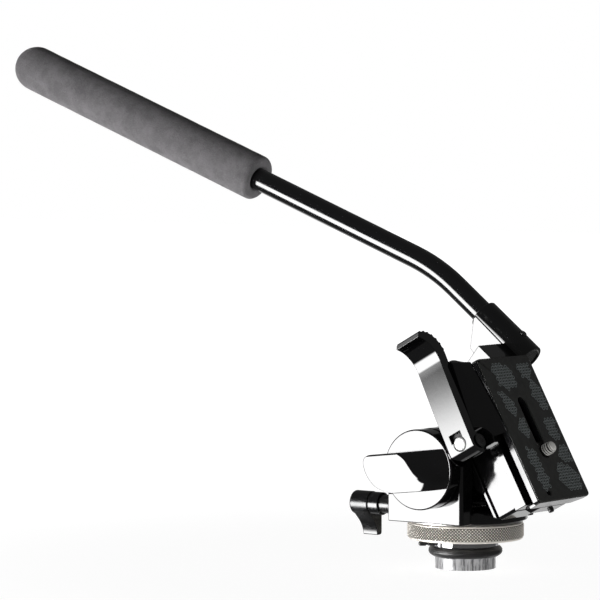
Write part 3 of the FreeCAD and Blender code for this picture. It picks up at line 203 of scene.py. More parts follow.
def make_thread_steel():
    """Bright steel, pale on the camera screw's crests and round end, with painted shade dark in its grooves.
    """
    paint = turned_metal("thread_steel", (0.85, 0.84, 0.8), 0.24, metallic=0.3)
    start = ON_TILT @ (Vector((*SCREW_AT, PAD_TOP)) * MM)
    direction = ON_TILT.to_3x3() @ Vector((0, 0, 1))
    crest = paint.spread(paint.from_axis(start, direction), 0.0027, 0.0030, 0, 1)
    from_end = paint.node("VectorMath", operation="DISTANCE")
    paint.link(paint.place, from_end.inputs[0])
    from_end.inputs[1].default_value = start + direction * (SCREW_TIP - PAD_TOP - 0.9) * MM
    end = paint.spread(from_end.outputs["Value"], 0.0026, 0.0028, 1, 0)
    # Painted shade: near black in the thread's grooves, the steel's pale tone on its crests and round end.
    paint.colour(paint.add(crest, end, "MAXIMUM"), (0.03, 0.03, 0.028), (0.95, 0.94, 0.9))
    return paint


def make_collar_metal():
    """Champagne anodised metal, pale on the knurl's points, with painted shade dark in its grooves."""
    paint = turned_metal("collar_metal", (0.6, 0.56, 0.51), 0.42, metallic=0.3)
    split = paint.node("SeparateXYZ")
    paint.link(paint.place, split.inputs[0])
    above = paint.spread(split.outputs["Z"], (COLLAR_TOP - 1.1) * MM, (COLLAR_TOP - 0.8) * MM, 0, 1)
    below = paint.spread(split.outputs["Z"], (COLLAR_BOTTOM + 0.9) * MM, (COLLAR_BOTTOM + 1.2) * MM, 1, 0)
    out = paint.from_axis((0, 0, 0), (0, 0, 1))
    raised = paint.spread(out, (COLLAR_RADIUS - 0.38) * MM, (COLLAR_RADIUS - 0.26) * MM, 0, 1)
    # Painted shade: dark wherever the knurl's grooves lie, pale on its points and plain top and foot bands.
    pale = paint.add(paint.add(above, below), raised, "MAXIMUM")
    paint.colour(pale, (0.13, 0.12, 0.105), (0.95, 0.9, 0.83))
    return paint


def rubber(name, colour, roughness, grain=1500, depth=0.00006):
    """Moulded rubber or plastic with a fine grain and a little pale dust."""
    paint = Paint(name, colour, roughness)
    paint.roughen(paint.noise(200, 4), 0.3, 0.7, roughness * 0.85, min(1.0, roughness * 1.2))
    paint.bump(paint.noise(grain, 4, 0.65), depth, 0.6)
    dust = paint.spread(paint.noise(900, 5, 0.7), 0.56, 0.74, 0, 1)
    paint.colour(dust, colour, tuple(channel * 1.9 + 0.01 for channel in colour))
    return paint


def make_foam():
    """Closed-cell foam: fine open pores over soft uneven tone."""
    paint = Paint("foam", (0.17, 0.165, 0.17), 0.92, Sheen_Weight=0.12, Specular_IOR_Level=0.25)
    paint.bump(paint.cells(1900), 0.00022, 0.5)
    paint.bump(paint.noise(700, 5, 0.65), 0.0002, 0.5)
    tone = paint.spread(paint.add(paint.noise(130, 6, 0.65), paint.noise(2300, 3, 0.6)), 0.75, 1.25, 0, 1)
    paint.colour(tone, (0.135, 0.13, 0.136), (0.225, 0.217, 0.225))
    paint.roughen(paint.noise(300, 3), 0.3, 0.7, 0.85, 0.98)
    return paint


def make_column():
    """Streaked fibre laminate under a clear coat."""
    paint = Paint("column_fibre", (0.4, 0.4, 0.41), 0.4, Coat_Weight=0.7, Coat_Roughness=0.1)
    streaks = paint.noise(650, 5, 0.75, stretch=(1, 1, 0.12))
    tone = paint.spread(streaks, 0.4, 0.62, 0, 1)
    paint.colour(tone, (0.54, 0.54, 0.55), (0.09, 0.09, 0.095))
    paint.roughen(paint.noise(300, 3), 0.3, 0.7, 0.3, 0.5)
    paint.bump(streaks, 0.00002, 0.3)
    return paint


PAINTS = {
    "gloss_black": lacquer("gloss_black", (0.006, 0.006, 0.0065), 0.055, (0.05, 0.05, 0.05)),
    "hub_black": lacquer("hub_black", (0.006, 0.006, 0.0065), 0.085, (0.05, 0.05, 0.05)),
    "plate_black": lacquer("plate_black", (0.012, 0.012, 0.013), 0.16, (0.08, 0.08, 0.08)),
    "lever_black": lacquer("lever_black", (0.01, 0.01, 0.011), 0.24, (0.05, 0.05, 0.05)),
    "tube_black": lacquer("tube_black", (0.008, 0.008, 0.009), 0.12, (0.04, 0.04, 0.04)),
    "pad_rubber": rubber("pad_rubber", (0.03, 0.031, 0.029), 0.5),
    "pad_net": rubber("pad_net", (0.19, 0.21, 0.21), 0.45, 900, 0.00001),
    # Near-black finish for discs that paint the shade inside the pad net's meshes.
    "pad_hollow_shade": rubber("pad_hollow_shade", (0.004, 0.005, 0.005), 0.7, 900, 0.00001),
    "recess_black": rubber("recess_black", (0.006, 0.006, 0.006), 0.6, 900, 0.00001),
    "ring_rubber": rubber("ring_rubber", (0.014, 0.014, 0.014), 0.45),
    "foam": make_foam(),
    "column_fibre": make_column(),
    "polished_neck": make_polished_neck(),
    "collar_metal": make_collar_metal(),
    "base_metal": turned_metal("base_metal", (0.5, 0.49, 0.47), 0.3),
    "screw_steel": turned_metal("screw_steel", (0.74, 0.73, 0.7), 0.24, metallic=0.8),
    "thread_steel": make_thread_steel(),
    "black_fasteners": lacquer("black_fasteners", (0.02, 0.02, 0.02), 0.28, (0.12, 0.12, 0.12)),
    "button_white": rubber("button_white", (0.72, 0.72, 0.71), 0.25, 800, 0.00001),
    "bush_brass": turned_metal("bush_brass", (0.66, 0.5, 0.25), 0.3),
    "drag_plastic": rubber("drag_plastic", (0.6, 0.6, 0.58), 0.5, 900, 0.00002),
}

# ---------------------------------------------------------------------------- mesh helpers


def tidy_mesh(mesh, sharp=32.0):
    """Face normals outward, smooth shading, and crisp edges where faces meet at an angle."""
    work = bmesh.new()
    work.from_mesh(mesh)
    bmesh.ops.recalc_face_normals(work, faces=work.faces)
    limit = math.radians(sharp)
    for face in work.faces:
        face.smooth = True
    for edge in work.edges:
        if len(edge.link_faces) == 2:
            edge.smooth = edge.calc_face_angle() < limit
    work.to_mesh(mesh)
    work.free()


def dress(obj, body, slot, stands_for, bevel=0.0, segments=2, sharp=32.0, finish=None):
    """Give a finished mesh its edges, its finish and its place among the bodies."""
    tidy_mesh(obj.data, sharp)
    if bevel:
        edges = obj.modifiers.new("edges", "BEVEL")
        edges.width = bevel * MM
        edges.segments = segments
        edges.limit_method = "ANGLE"
        edges.angle_limit = math.radians(sharp)
        edges.use_clamp_overlap = False
    shade = obj.modifiers.new("shading", "WEIGHTED_NORMAL")
    shade.keep_sharp = True
    obj.data.materials.clear()
    obj.data.materials.append(PAINTS[finish or slot].material)
    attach(obj, body)
    if stands_for:
        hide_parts(*stands_for)
    return obj


def new_object(name, points, faces, place=UPRIGHT):
    """An object in the scene from points in millimetres."""
    mesh = bpy.data.meshes.new(name)
    mesh.from_pydata([place @ (Vector(point) * MM) for point in points], [], faces)
    obj = bpy.data.objects.new(name, mesh)
    scene.collection.objects.link(obj)
    return obj


def add_piece(name, points, faces, body, slot, stands_for=(), place=UPRIGHT, **looks):
    """A piece from points in millimetres, in place of CAD nodes."""
    return dress(new_object(name, points, faces, place), body, slot, stands_for, **looks)


def cut_across(work, places):
    """Split a mesh's faces along planes square to Y."""
    for y in places:
        geometry = work.verts[:] + work.edges[:] + work.faces[:]
        bmesh.ops.bisect_plane(work, geom=geometry, plane_co=(0, y * MM, 0), plane_no=(0, 1, 0))


def shape_jaw(work):
    """The jaw's ear kept under the lever, and its rear end curved from side to side."""
    ear_top, ear_reach, lowered = 22.6, 7.4, 21.7
    for point in work.verts:
        at = point.co / MM
        if abs(at.z - ear_top) < 0.05 and (at.to_2d() - Vector(PIVOT_AT)).length < ear_reach:
            point.co.z = lowered * MM
    near, far, rear = -38.4, -23.8, -41.0
    bow, fall = 1.4, 2.9
    middle, half = (near + far) / 2, (far - near) / 2
    cut_across(work, [near + (far - near) * i / 12 for i in range(1, 12)])
    for point in work.verts:
        if point.co.x < (rear + 0.5) * MM:
            point.co.x = (rear - bow + fall * ((point.co.y / MM - middle) / half) ** 2) * MM


def trim_tray_corners(work):
    """The tray's front, set back at both corners."""
    cut_across(work, (-14.0, -11.5, 11.5, 14.0))
    front, corner, back = 39.6, 13.9, 39.35
    for point in work.verts:
        if point.co.x > front * MM and abs(point.co.y) > corner * MM:
            point.co.x = back * MM


def round_plate_corners(work):
    """Round the four upright corners of the plate's deck or of its pad."""
    side, rear, front, above, radius = 23.2, -38.0, 41.5, 42.0, 2.2
    corners = []
    for edge in work.edges:
        first, second = (vert.co / MM for vert in edge.verts)
        upright = (first - second).to_2d().length < 0.01 and abs(first.z - second.z) > 0.5
        at_corner = abs(first.y) > side and not rear < first.x < front
        if upright and at_corner and min(first.z, second.z) > above:
            corners.append(edge)
    bmesh.ops.bevel(work, geom=corners, offset=radius * MM, segments=6, profile=0.5, affect="EDGES")


RESHAPED = {"moving_jaw": shape_jaw, "camera_platform": trim_tray_corners,
            "quick_release_plate": round_plate_corners, "plate_rubber_pad": round_plate_corners}


def eased_copy(node, body, slot, bevel, finish=None):
    """The CAD node with its sharp edges eased, standing for that node."""
    mesh = nodes[node].data.copy()
    work = bmesh.new()
    work.from_mesh(mesh)
    bmesh.ops.remove_doubles(work, verts=work.verts, dist=2e-6)
    bmesh.ops.dissolve_limit(work, angle_limit=math.radians(0.6), verts=work.verts, edges=work.edges)
    if node in RESHAPED:
        bmesh.ops.transform(work, matrix=ON_TILT.inverted(), verts=work.verts)
        RESHAPED[node](work)
        bmesh.ops.transform(work, matrix=ON_TILT, verts=work.verts)
    work.to_mesh(mesh)
    work.free()
    if "custom_normal" in mesh.attributes:
        mesh.attributes.remove(mesh.attributes["custom_normal"])
    obj = bpy.data.objects.new("eased_" + node, mesh)
    scene.collection.objects.link(obj)
    return dress(obj, body, slot, [node], bevel=bevel, finish=finish)


class Build:
    """Points and faces gathered for one piece."""

    def __init__(self):
        self.points = []
        self.faces = []

    def ring(self, points):
        start = len(self.points)
        self.points.extend(points)
        return list(range(start, len(self.points)))

    def turned(self, where, radius, height, segments):
        """A round ring, placed as in lathe."""
        return self.ring([where(radius, TURN * i / segments, height) for i in range(segments)])

    def bridge(self, first, second):
        """Join two closed rings of the same length."""
        count = len(first)
        for i in range(count):
            j = (i + 1) % count
            self.faces.append((first[i], first[j], second[j], second[i]))

    def cap(self, ring):
        self.faces.append(tuple(ring))

    def skin(self, rings):
        """Join rings in turn and close both ends."""
        for first, second in zip(rings, rings[1:]):
            self.bridge(first, second)
        self.cap(rings[0])
        self.cap(rings[-1])

    def prism(self, first, second):
        """A closed solid between two outlines of the same length."""
        self.skin([self.ring(first), self.ring(second)])

    def fan(self, ring, centre):
        tip = self.ring([centre])[0]
        for i in range(len(ring)):
            self.faces.append((ring[i], ring[(i + 1) % len(ring)], tip))

    def lathe(self, profile, where, segments=96, closed=False):
        """Turn (radius, height) pairs: `where` maps radius, angle and height to a point.

        A closed profile makes a ring with a hole; an open one gets flat or pointed ends.
        """
        rings = [self.turned(where, radius, height, segments) for radius, height in profile]
        for first, second in zip(rings, rings[1:]):
            self.bridge(first, second)
        if closed:
            self.bridge(rings[-1], rings[0])
        else:
            self.fan(rings[0], where(0, 0, profile[0][1]))
            self.fan(rings[-1], where(0, 0, profile[-1][1]))


def upright_at(x=0.0, y=0.0):
    """Turning about a vertical line."""
    return lambda radius, angle, height: (x + radius * math.cos(angle), y + radius * math.sin(angle), height)


def along(start, direction, side=(0, 1, 0)):
    """Turning about a line from a start point."""
    start, direction = Vector(start), Vector(direction).normalized()
    across = Vector(side).normalized()
    third = direction.cross(across)
    return lambda radius, angle, height: tuple(
        start + direction * height + across * (radius * math.cos(angle)) + third * (radius * math.sin(angle)))


def rounded_profile(corners, steps=5):
    """(radius, height) corners, each with the size of its rounding, as a finer profile."""
    profile = []
    count = len(corners)
    for i, (radius, height, ease) in enumerate(corners):
        here = Vector((radius, height))
        if not ease or i in (0, count - 1):
            profile.append((radius, height))
            continue
        before = Vector(corners[i - 1][:2])
        after = Vector(corners[i + 1][:2])
        start = here + (before - here).normalized() * min(ease, (before - here).length * 0.49)
        end = here + (after - here).normalized() * min(ease, (after - here).length * 0.49)
        for step in range(steps + 1):
            t = step / steps
            point = start * (1 - t) ** 2 + here * (2 * t * (1 - t)) + end * t ** 2
            profile.append(tuple(point))
    return profile


def rounded_outline(corners, steps=4):
    """A closed outline whose corners (x, y, ease) are rounded, always with as many points."""
    outline = []
    count = len(corners)
    for i, (x, y, ease) in enumerate(corners):
        here = Vector((x, y))
        before = Vector(corners[i - 1][:2])
        after = Vector(corners[(i + 1) % count][:2])
        start = here + (before - here).normalized() * min(ease, (before - here).length * 0.7)
        end = here + (after - here).normalized() * min(ease, (after - here).length * 0.7)
        for step in range(steps + 1):
            t = step / steps
            outline.append(tuple(start * (1 - t) ** 2 + here * (2 * t * (1 - t)) + end * t ** 2))
    return outline


def through(pairs, x):
    """A smooth curve through (x, value) pairs, read at x."""
    xs = [pair[0] for pair in pairs]
    ys = [pair[1] for pair in pairs]
    if x <= xs[0]:
        return ys[0]
    if x >= xs[-1]:
        return ys[-1]
    i = max(k for k in range(len(xs) - 1) if xs[k] <= x)
    slope = []
    for k in (i, i + 1):
        low, high = max(k - 1, 0), min(k + 1, len(xs) - 1)
        slope.append((ys[high] - ys[low]) / (xs[high] - xs[low]))
    width = xs[i + 1] - xs[i]
    t = (x - xs[i]) / width
    return ((2 * t ** 3 - 3 * t ** 2 + 1) * ys[i] + (t ** 3 - 2 * t ** 2 + t) * width * slope[0]
            + (3 * t ** 2 - 2 * t ** 3) * ys[i + 1] + (t ** 3 - t ** 2) * width * slope[1])


def arc_points(before, start, end, steps):
    """Points of the arc from start to end that carries on smoothly from `before`."""
    before, start, end = Vector(before), Vector(start), Vector(end)
    run = (start - before).normalized()
    across = Vector((-run.y, run.x))
    chord = end - start
    radius = chord.dot(chord) / (2 * chord.dot(across))
    centre = start + across * radius
    first = math.atan2(*(start - centre).yx)
    last = math.atan2(*(end - centre).yx)
    turn = (last - first + math.pi) % TURN - math.pi
    return [tuple(centre + abs(radius) * Vector((math.cos(first + turn * i / steps),
                                                 math.sin(first + turn * i / steps))))
            for i in range(1, steps + 1)]


# ---------------------------------------------------------------------------- camera, floor, light

# Where the camera stands, its own axes, and its focal length on a 36 mm wide sensor.
CAMERA_PLACE = (1118.559, -1657.958, 244.392)
CAMERA_RIGHT = (0.80446895, 0.5939947, 0.0)
CAMERA_UP = (-0.03171879, 0.04295793, 0.99857325)
CAMERA_AHEAD = (-0.59314722, 0.80332117, -0.05339912)
CAMERA_LENS = 234.57

# Levels of the light from all around and of the floor's own glow.
AMBIENT = 0.035
FLOOR_GLOW = 1.16

# What gloss sees around the object, as soft-edged windows of light:
# (middle azimuth, half width, middle height, half height, edge softness) in degrees, and level.
# Azimuth 0 looks along -Y from the object, and +90 along +X.
WINDOWS = [
    ((-36, 19, -13.5, 16.0, 8), 24.0),
    ((-146, 34, -40, 50, 14), 1.0),
    ((-82, 10, 8, 30, 8), 1.6),
]
GLOSS_FLOOR = 0.12


def add_camera():
    data = bpy.data.cameras.new("camera")
    data.sensor_width = 36.0
    data.lens = CAMERA_LENS
    data.clip_start = 0.05
    data.clip_end = 50.0
    obj = bpy.data.objects.new("camera", data)
    turn = Matrix((CAMERA_RIGHT, CAMERA_UP, tuple(-c for c in CAMERA_AHEAD))).transposed().to_4x4()
    obj.matrix_world = Matrix.Translation(Vector(CAMERA_PLACE) * MM) @ turn
    scene.collection.objects.link(obj)
    scene.camera = obj


def add_world():
    """White where the camera, gloss or glass looks; a soft ambient light for the rest."""
    world = bpy.data.worlds.new("studio")
    scene.world = world
    world.use_nodes = True
    tree = world.node_tree
    background = tree.nodes["Background"]
    path = tree.nodes.new("ShaderNodeLightPath")
    total = path.outputs["Is Camera Ray"]
    for ray in ("Is Glossy Ray", "Is Transmission Ray"):
        item = tree.nodes.new("ShaderNodeMath")
        item.operation = "MAXIMUM"
        tree.links.new(total, item.inputs[0])
        tree.links.new(path.outputs[ray], item.inputs[1])
        total = item.outputs[0]
    level = tree.nodes.new("ShaderNodeMapRange")
    level.inputs["To Min"].default_value = AMBIENT
    level.inputs["To Max"].default_value = 1.0
    tree.links.new(total, level.inputs["Value"])
    tree.links.new(level.outputs["Result"], background.inputs["Strength"])
    background.inputs["Color"].default_value = (1, 1, 1, 1)


def stage_mesh(name, points, faces, material, **visible):
    """A stage object from points in metres, hidden from some kinds of ray."""
    mesh = bpy.data.meshes.new(name)
    mesh.from_pydata(points, [], faces)
    mesh.materials.append(material)
    obj = bpy.data.objects.new(name, mesh)
    scene.collection.objects.link(obj)
    for ray, shown in visible.items():
        setattr(obj, "visible_" + ray, shown)


def add_floor():
    """A pale floor that keeps a light shadow, fades to white and throws light up at the object."""
    paint = Paint("floor", (0.9, 0.9, 0.9), 0.9)
    tree = paint.tree
    glow = paint.node("Emission")
    glow.inputs["Color"].default_value = (1, 1, 1, 1)
    glow.inputs["Strength"].default_value = FLOOR_GLOW
    mix = paint.node("MixShader")
    distance = paint.node("VectorMath", operation="LENGTH")
    paint.link(paint.place, distance.inputs[0])
    fade = paint.spread(distance.outputs["Value"], 0.15, 0.7, 0.82, 1.0)
    path = paint.node("LightPath")
    seen = paint.add(path.outputs["Is Camera Ray"], path.outputs["Is Diffuse Ray"])
    paint.link(paint.add(fade, seen, "MULTIPLY"), mix.inputs["Fac"])
    paint.link(paint.shader.outputs["BSDF"], mix.inputs[1])
    paint.link(glow.outputs["Emission"], mix.inputs[2])
    paint.link(mix.outputs["Shader"], tree.nodes["Material Output"].inputs["Surface"])
    reach = 4.0
    corners = [(-reach, -reach, 0), (reach, -reach, 0), (reach, reach, 0), (-reach, reach, 0)]
    stage_mesh("floor", corners, [(0, 1, 2, 3)], paint.material, glossy=False)


def add_reflection_shell():
    """A far shell that only gloss sees: a bright box, a pale backdrop and a dim room."""
    paint = Paint("reflections", (0, 0, 0), 1.0)
    split = paint.node("SeparateXYZ")
    paint.link(paint.place, split.inputs[0])
    x, y, z = (split.outputs[axis] for axis in "XYZ")

    def math_node(operation, *values):
        item = paint.node("Math", operation=operation)
        for socket, value in zip(item.inputs, values):
            if isinstance(value, float):
                socket.default_value = value
            else:
                paint.link(value, socket)
        return item.outputs[0]

    ground = math_node("SQRT", math_node("ADD", math_node("MULTIPLY", x, x), math_node("MULTIPLY", y, y)))
    height = math_node("ARCTAN2", z, ground)
    azimuth = math_node("ARCTAN2", x, math_node("MULTIPLY", y, -1.0))

    def window(value, middle, half, soft):
        off = math_node("ABSOLUTE", math_node("SUBTRACT", value, math.radians(middle)))
        return paint.spread(off, math.radians(half - soft / 2), math.radians(half + soft / 2), 1.0, 0.0)

    total = GLOSS_FLOOR
    for (azimuth_at, azimuth_half, height_at, height_half, soft), level in WINDOWS:
        across = window(azimuth, azimuth_at, azimuth_half, soft)
        up = window(height, height_at, height_half, soft)
        lit = math_node("MULTIPLY", math_node("MULTIPLY", across, up), level)
        total = math_node("MAXIMUM", lit, total)
    glow = paint.node("Emission")
    glow.inputs["Color"].default_value = (1, 1, 1, 1)
    paint.link(total, glow.inputs["Strength"])
    paint.link(glow.outputs["Emission"], paint.tree.nodes["Material Output"].inputs["Surface"])
    paint.material.cycles.emission_sampling = "NONE"
    shell = Build()
    radius, rows, columns = 6.0, 24, 48
    rings = [shell.ring([(radius * math.sin(math.pi * row / rows) * math.cos(TURN * i / columns),
                          radius * math.sin(math.pi * row / rows) * math.sin(TURN * i / columns),
                          radius * math.cos(math.pi * row / rows)) for i in range(columns)])
             for row in range(1, rows)]
    shell.skin(rings)
    stage_mesh("reflection_shell", shell.points, shell.faces, paint.material,
               camera=False, diffuse=False, transmission=False, volume_scatter=False, shadow=False)


def add_lamp(name, place, target, width, height, level):
    """A soft box whose light falls on the object at `level` times a white surface's own tone."""
    data = bpy.data.lights.new(name, "AREA")
    data.shape = "RECTANGLE"
    data.size = width
    data.size_y = height
    away = Vector(place) - Vector(target)
    data.energy = level * math.pi ** 2 * away.length_squared
    obj = bpy.data.objects.new(name, data)
    obj.rotation_mode = "QUATERNION"
    obj.rotation_quaternion = away.to_track_quat("Z", "Y")
    obj.location = place
    obj.visible_glossy = False
    obj.visible_camera = False
    scene.collection.objects.link(obj)


def add_light():
    middle = (-0.05, 0.0, 0.1)
    add_lamp("key", (-0.9, -1.9, 0.06), middle, 1.2, 0.3, 0.7)
    add_lamp("fill", (1.6, -1.0, 0.9), middle, 1.0, 1.0, 0.05)
    add_lamp("top", (-0.1, 0.6, 2.2), middle, 1.6, 1.6, 0.02)
    add_world()
    add_floor()
    add_reflection_shell()


# ---------------------------------------------------------------------------- base


def make_knurled_collar():
    """Ring with a true diamond knurl: raised pyramids between crossing grooves."""
    outer, bore, bottom, top = COLLAR_RADIUS, 20.05, COLLAR_BOTTOM, COLLAR_TOP
    depth, columns, rows = 0.5, 220, 9
    low, high = bottom + 0.8, top - 0.75
    around = upright_at()
    collar = Build()
    head = [(bore, top - 0.25), (bore + 0.25, top), (outer - 1.0, top), (outer - 0.7, top - 0.12),
            (outer - 0.55, top - 0.35), (outer - 0.42, top - 0.6)]
    rings = [collar.turned(around, r, z, columns) for r, z in head]
    for row in range(rows + 1):
        z = high + (low - high) * row / rows
        ends = row in (0, rows)
        rings.append(collar.ring([
            around(outer - (0.0 if (i + row) % 2 and not ends else depth), TURN * i / columns, z)
            for i in range(columns)]))
    first_knurl, last_knurl = len(head), len(rings) - 1
    foot = [(outer - 0.55, bottom + 0.45), (outer - 1.0, bottom), (bore + 0.25, bottom),
            (bore, bottom + 0.25)]
    rings += [collar.turned(around, r, z, columns) for r, z in foot]
    for k, (first, second) in enumerate(zip(rings, rings[1:])):
        if not first_knurl <= k < last_knurl:
            collar.bridge(first, second)
            continue
        row = k - first_knurl
        for i in range(columns):
            j = (i + 1) % columns
            a, b, c, d = first[i], first[j], second[j], second[i]
            if (i + row) % 2:
                collar.faces += [(a, b, d), (b, c, d)]
            else:
                collar.faces += [(a, b, c), (a, c, d)]
    collar.bridge(rings[-1], rings[0])
    add_piece("locking_collar", collar.points, collar.faces, "collar", "collar_metal",
              ["knurled_collar"], sharp=24)


def make_rubber_ring():
    """Seat ring with a flared foot and a fine groove round its middle."""
    profile = rounded_profile([
        (16.22, 6.2, 0), (16.6, 6.2, 0.2), (18.4, 7.4, 0.5), (19.0, 8.5, 0.5), (19.0, 9.2, 0.2),
        (18.75, 9.35, 0.1), (19.0, 9.5, 0.1), (18.9, 10.0, 0.3), (18.3, 10.9, 0.4), (17.5, 11.5, 0.3),
        (16.22, 11.5, 0)], 4)
    ring = Build()
    ring.lathe(profile, upright_at(), 144, closed=True)
    add_piece("seat_ring", ring.points, ring.faces, "base", "ring_rubber", ["rubber_ring"], sharp=50)


def make_neck_lock_pin():
    """Small radial pin with a waist and a rounded head."""
    turn, set_out, level = math.radians(234), 14.0, 13.2
    outward = Vector((math.cos(turn), math.sin(turn), 0))
    start = outward * set_out + Vector((0, 0, level))
    pin = Build()
    profile = rounded_profile([
        (1.28, 0, 0), (1.28, 6.2, 0.1), (0.85, 6.6, 0.2), (0.85, 7.4, 0.2), (1.3, 7.8, 0.2),
        (1.3, 10.3, 0.2), (1.15, 10.9, 0.3), (0.7, 11.4, 0.3), (0.02, 11.5, 0)], 4)
    pin.lathe(profile, along(start, outward, (0, 0, 1)), 40)
    add_piece("neck_pin_turned", pin.points, pin.faces, "neck_pin", "screw_steel", ["neck_lock_pin"],
              finish="black_fasteners")


# ---------------------------------------------------------------------------- locks


def make_tilt_knob():
    """Disc with an S-shaped paddle that rises from the disc's right rim to a free end."""
    back, face, radius = 34.1, 43.4, 20.5
    where = along((0, 0, 0), (0, -1, 0), (1, 0, 0))
    disc = Build()
    disc.lathe(rounded_profile([
        (4.05, back, 0), (radius - 1.6, back, 0.2), (radius - 1.4, back + 0.8, 0.2),
        (radius, back + 1.1, 0.3), (radius, face - 0.55, 0.15), (radius - 0.65, face, 0.12),
        (4.05, face, 0)], 3), where, 160)
    add_piece("tilt_knob_disc", disc.points, disc.faces, "tilt_lock", "gloss_black",
              ["tilt_lock_knob"], ON_KNOB, sharp=25)

    low, high, rise = -10.6, 9.7, 10.6
    low_ease, high_ease = 0.4, 0.9
    reach = [(-10.6, 9.7), (-9.6, 14.6), (-7.6, 19.6), (-5.3, 22.6), (-1.5, 25.4), (2.5, 27.0), (6.3, 27.4),
             (8.4, 26.3), (9.7, 24.2)]
    flat_end = [(-10.6, 11.6), (-8.0, 13.6), (-6.1, 13.8), (-3.2, 9.0), (-0.5, 4.9), (2.7, 2.1),
                (6.4, -0.6), (9.2, -4.6), (9.7, -6.5)]
    roll = [(-10.6, 6.0), (-5.0, 6.0), (-3.0, 3.5), (0.0, 1.4), (3.0, 0.7), (9.7, 0.4)]
    levels = sorted([low + low_ease * t for t in (0, 0.3, 1)]
                    + [high - high_ease * t for t in (0, 0.13, 0.4, 0.7, 1)]
                    + [low + (high - low) * i / 26 for i in range(1, 25)])
    paddle = Build()
    rings = []
    for z in levels:
        ease = 0.0
        for gap, width in ((z - low, low_ease), (high - z, high_ease)):
            if gap < width:
                ease = width - math.sqrt(max(0.0, width ** 2 - (width - gap) ** 2))
        tip = -through(reach, z) + ease
        edge = through(flat_end, z)
        rim = math.sqrt(radius ** 2 - z ** 2) - 0.9
        top = face + rise - ease
        rolled = through(roll, z)
        section = rounded_outline([
            (tip, top - 4.5, 0.8), (tip + 1.5, top, 0.6),
            (edge, top, rolled),
            ((edge + rim) / 2 + 0.8, face + (top - face) * 0.42, 2.0),
            (rim - ease, face - 0.05, 0.2), (rim - ease, face - 1.0, 0.2),
            (-12.0, face - 1.0, 1.0), (min(-12.5, tip * 0.68), face - 0.9 + ease, 1.2)], 5)
        rings.append(paddle.ring([(x, -y, z) for x, y in section]))
    paddle.skin(rings)
    add_piece("tilt_knob_paddle", paddle.points, paddle.faces, "tilt_lock", "gloss_black",
              ["tilt_lock_knob"], ON_KNOB, sharp=28)


def make_pan_lever():
    """Turned hub and boss along -X, with a bent tab hanging from the boss."""
    axis, radius, drop = Vector((-25.6, 32.9)), 6.15, 17.0
    hub = Build()
    hub.lathe(rounded_profile([
        (2.95, 33.4, 0), (5.6, 33.4, 0.2), (5.9, 33.7, 0.2), (5.9, 39.3, 0.15), (5.4, 39.45, 0.1),
        (5.4, 39.95, 0.1), (radius, 40.1, 0.25), (radius, 51.0, 1.2), (0.3, 51.0, 0)], 5),
        along((0, *axis), (-1, 0, 0), (0, 1, 0)), 96)
    add_piece("pan_lever_hub", hub.points, hub.faces, "pan_lock", "lever_black",
              ["pan_lock_lever"], sharp=30)

    neck = Build()
    neck.lathe(rounded_profile([
        (2.95, 25.2, 0), (5.0, 25.2, 0.2), (5.2, 25.5, 0.2), (5.2, 27.6, 0.2), (4.8, 27.9, 0.1),
        (4.8, 33.45, 0), (2.95, 33.45, 0)], 4), along((0, *axis), (-1, 0, 0), (0, 1, 0)), 96)
    add_piece("pan_lever_neck", neck.points, neck.faces, "pan_lock", "lever_black",
              ["pan_lock_lever"], finish="black_fasteners")

    leave = axis + Vector((-1, -1)).normalized() * radius
    bend = leave + Vector((4.75, -4.75))
    near_side = arc_points(leave, bend, (-21.4, axis.y - drop), 12)
    outline = [tuple(axis), tuple(leave), tuple(bend)] + near_side + [
        (-18.9, axis.y - drop), (-18.0, axis.y - drop + 0.3), (-17.6, axis.y - drop + 1.2),
        (-17.6, axis.y - radius), (-18.0, axis.y - 3.0), (axis.x + radius, axis.y)]
    front, rear, lean = -40.0, -49.8, 0.6
    tab = Build()
    tab.prism([(front, y, z) for y, z in outline],
              [(rear + lean * (axis.y - z) / drop, y, z) for y, z in outline])
    add_piece("pan_lever_tab", tab.points, tab.faces, "pan_lock", "lever_black",
              ["pan_lock_lever"], bevel=0.45, segments=3, sharp=30)


# ---------------------------------------------------------------------------- clamp


BUTTON_LINE = along((BUTTON_X, 0, BUTTON_Z), (0, 1, 0), (1, 0, 0))


def carve(obj, tool):
    """Take a closed shape away from a piece of the tilting platform."""
    cutter = new_object("tool", tool.points, tool.faces, ON_TILT)
    tidy_mesh(cutter.data)
    tidy_mesh(obj.data)
    cut = obj.modifiers.new("cut", "BOOLEAN")
    cut.operation = "DIFFERENCE"
    cut.object = cutter
    bpy.context.view_layer.update()
    shape = bpy.data.meshes.new_from_object(obj.evaluated_get(bpy.context.evaluated_depsgraph_get()))
    obj.modifiers.clear()
    obj.data = shape
    bpy.data.objects.remove(cutter)


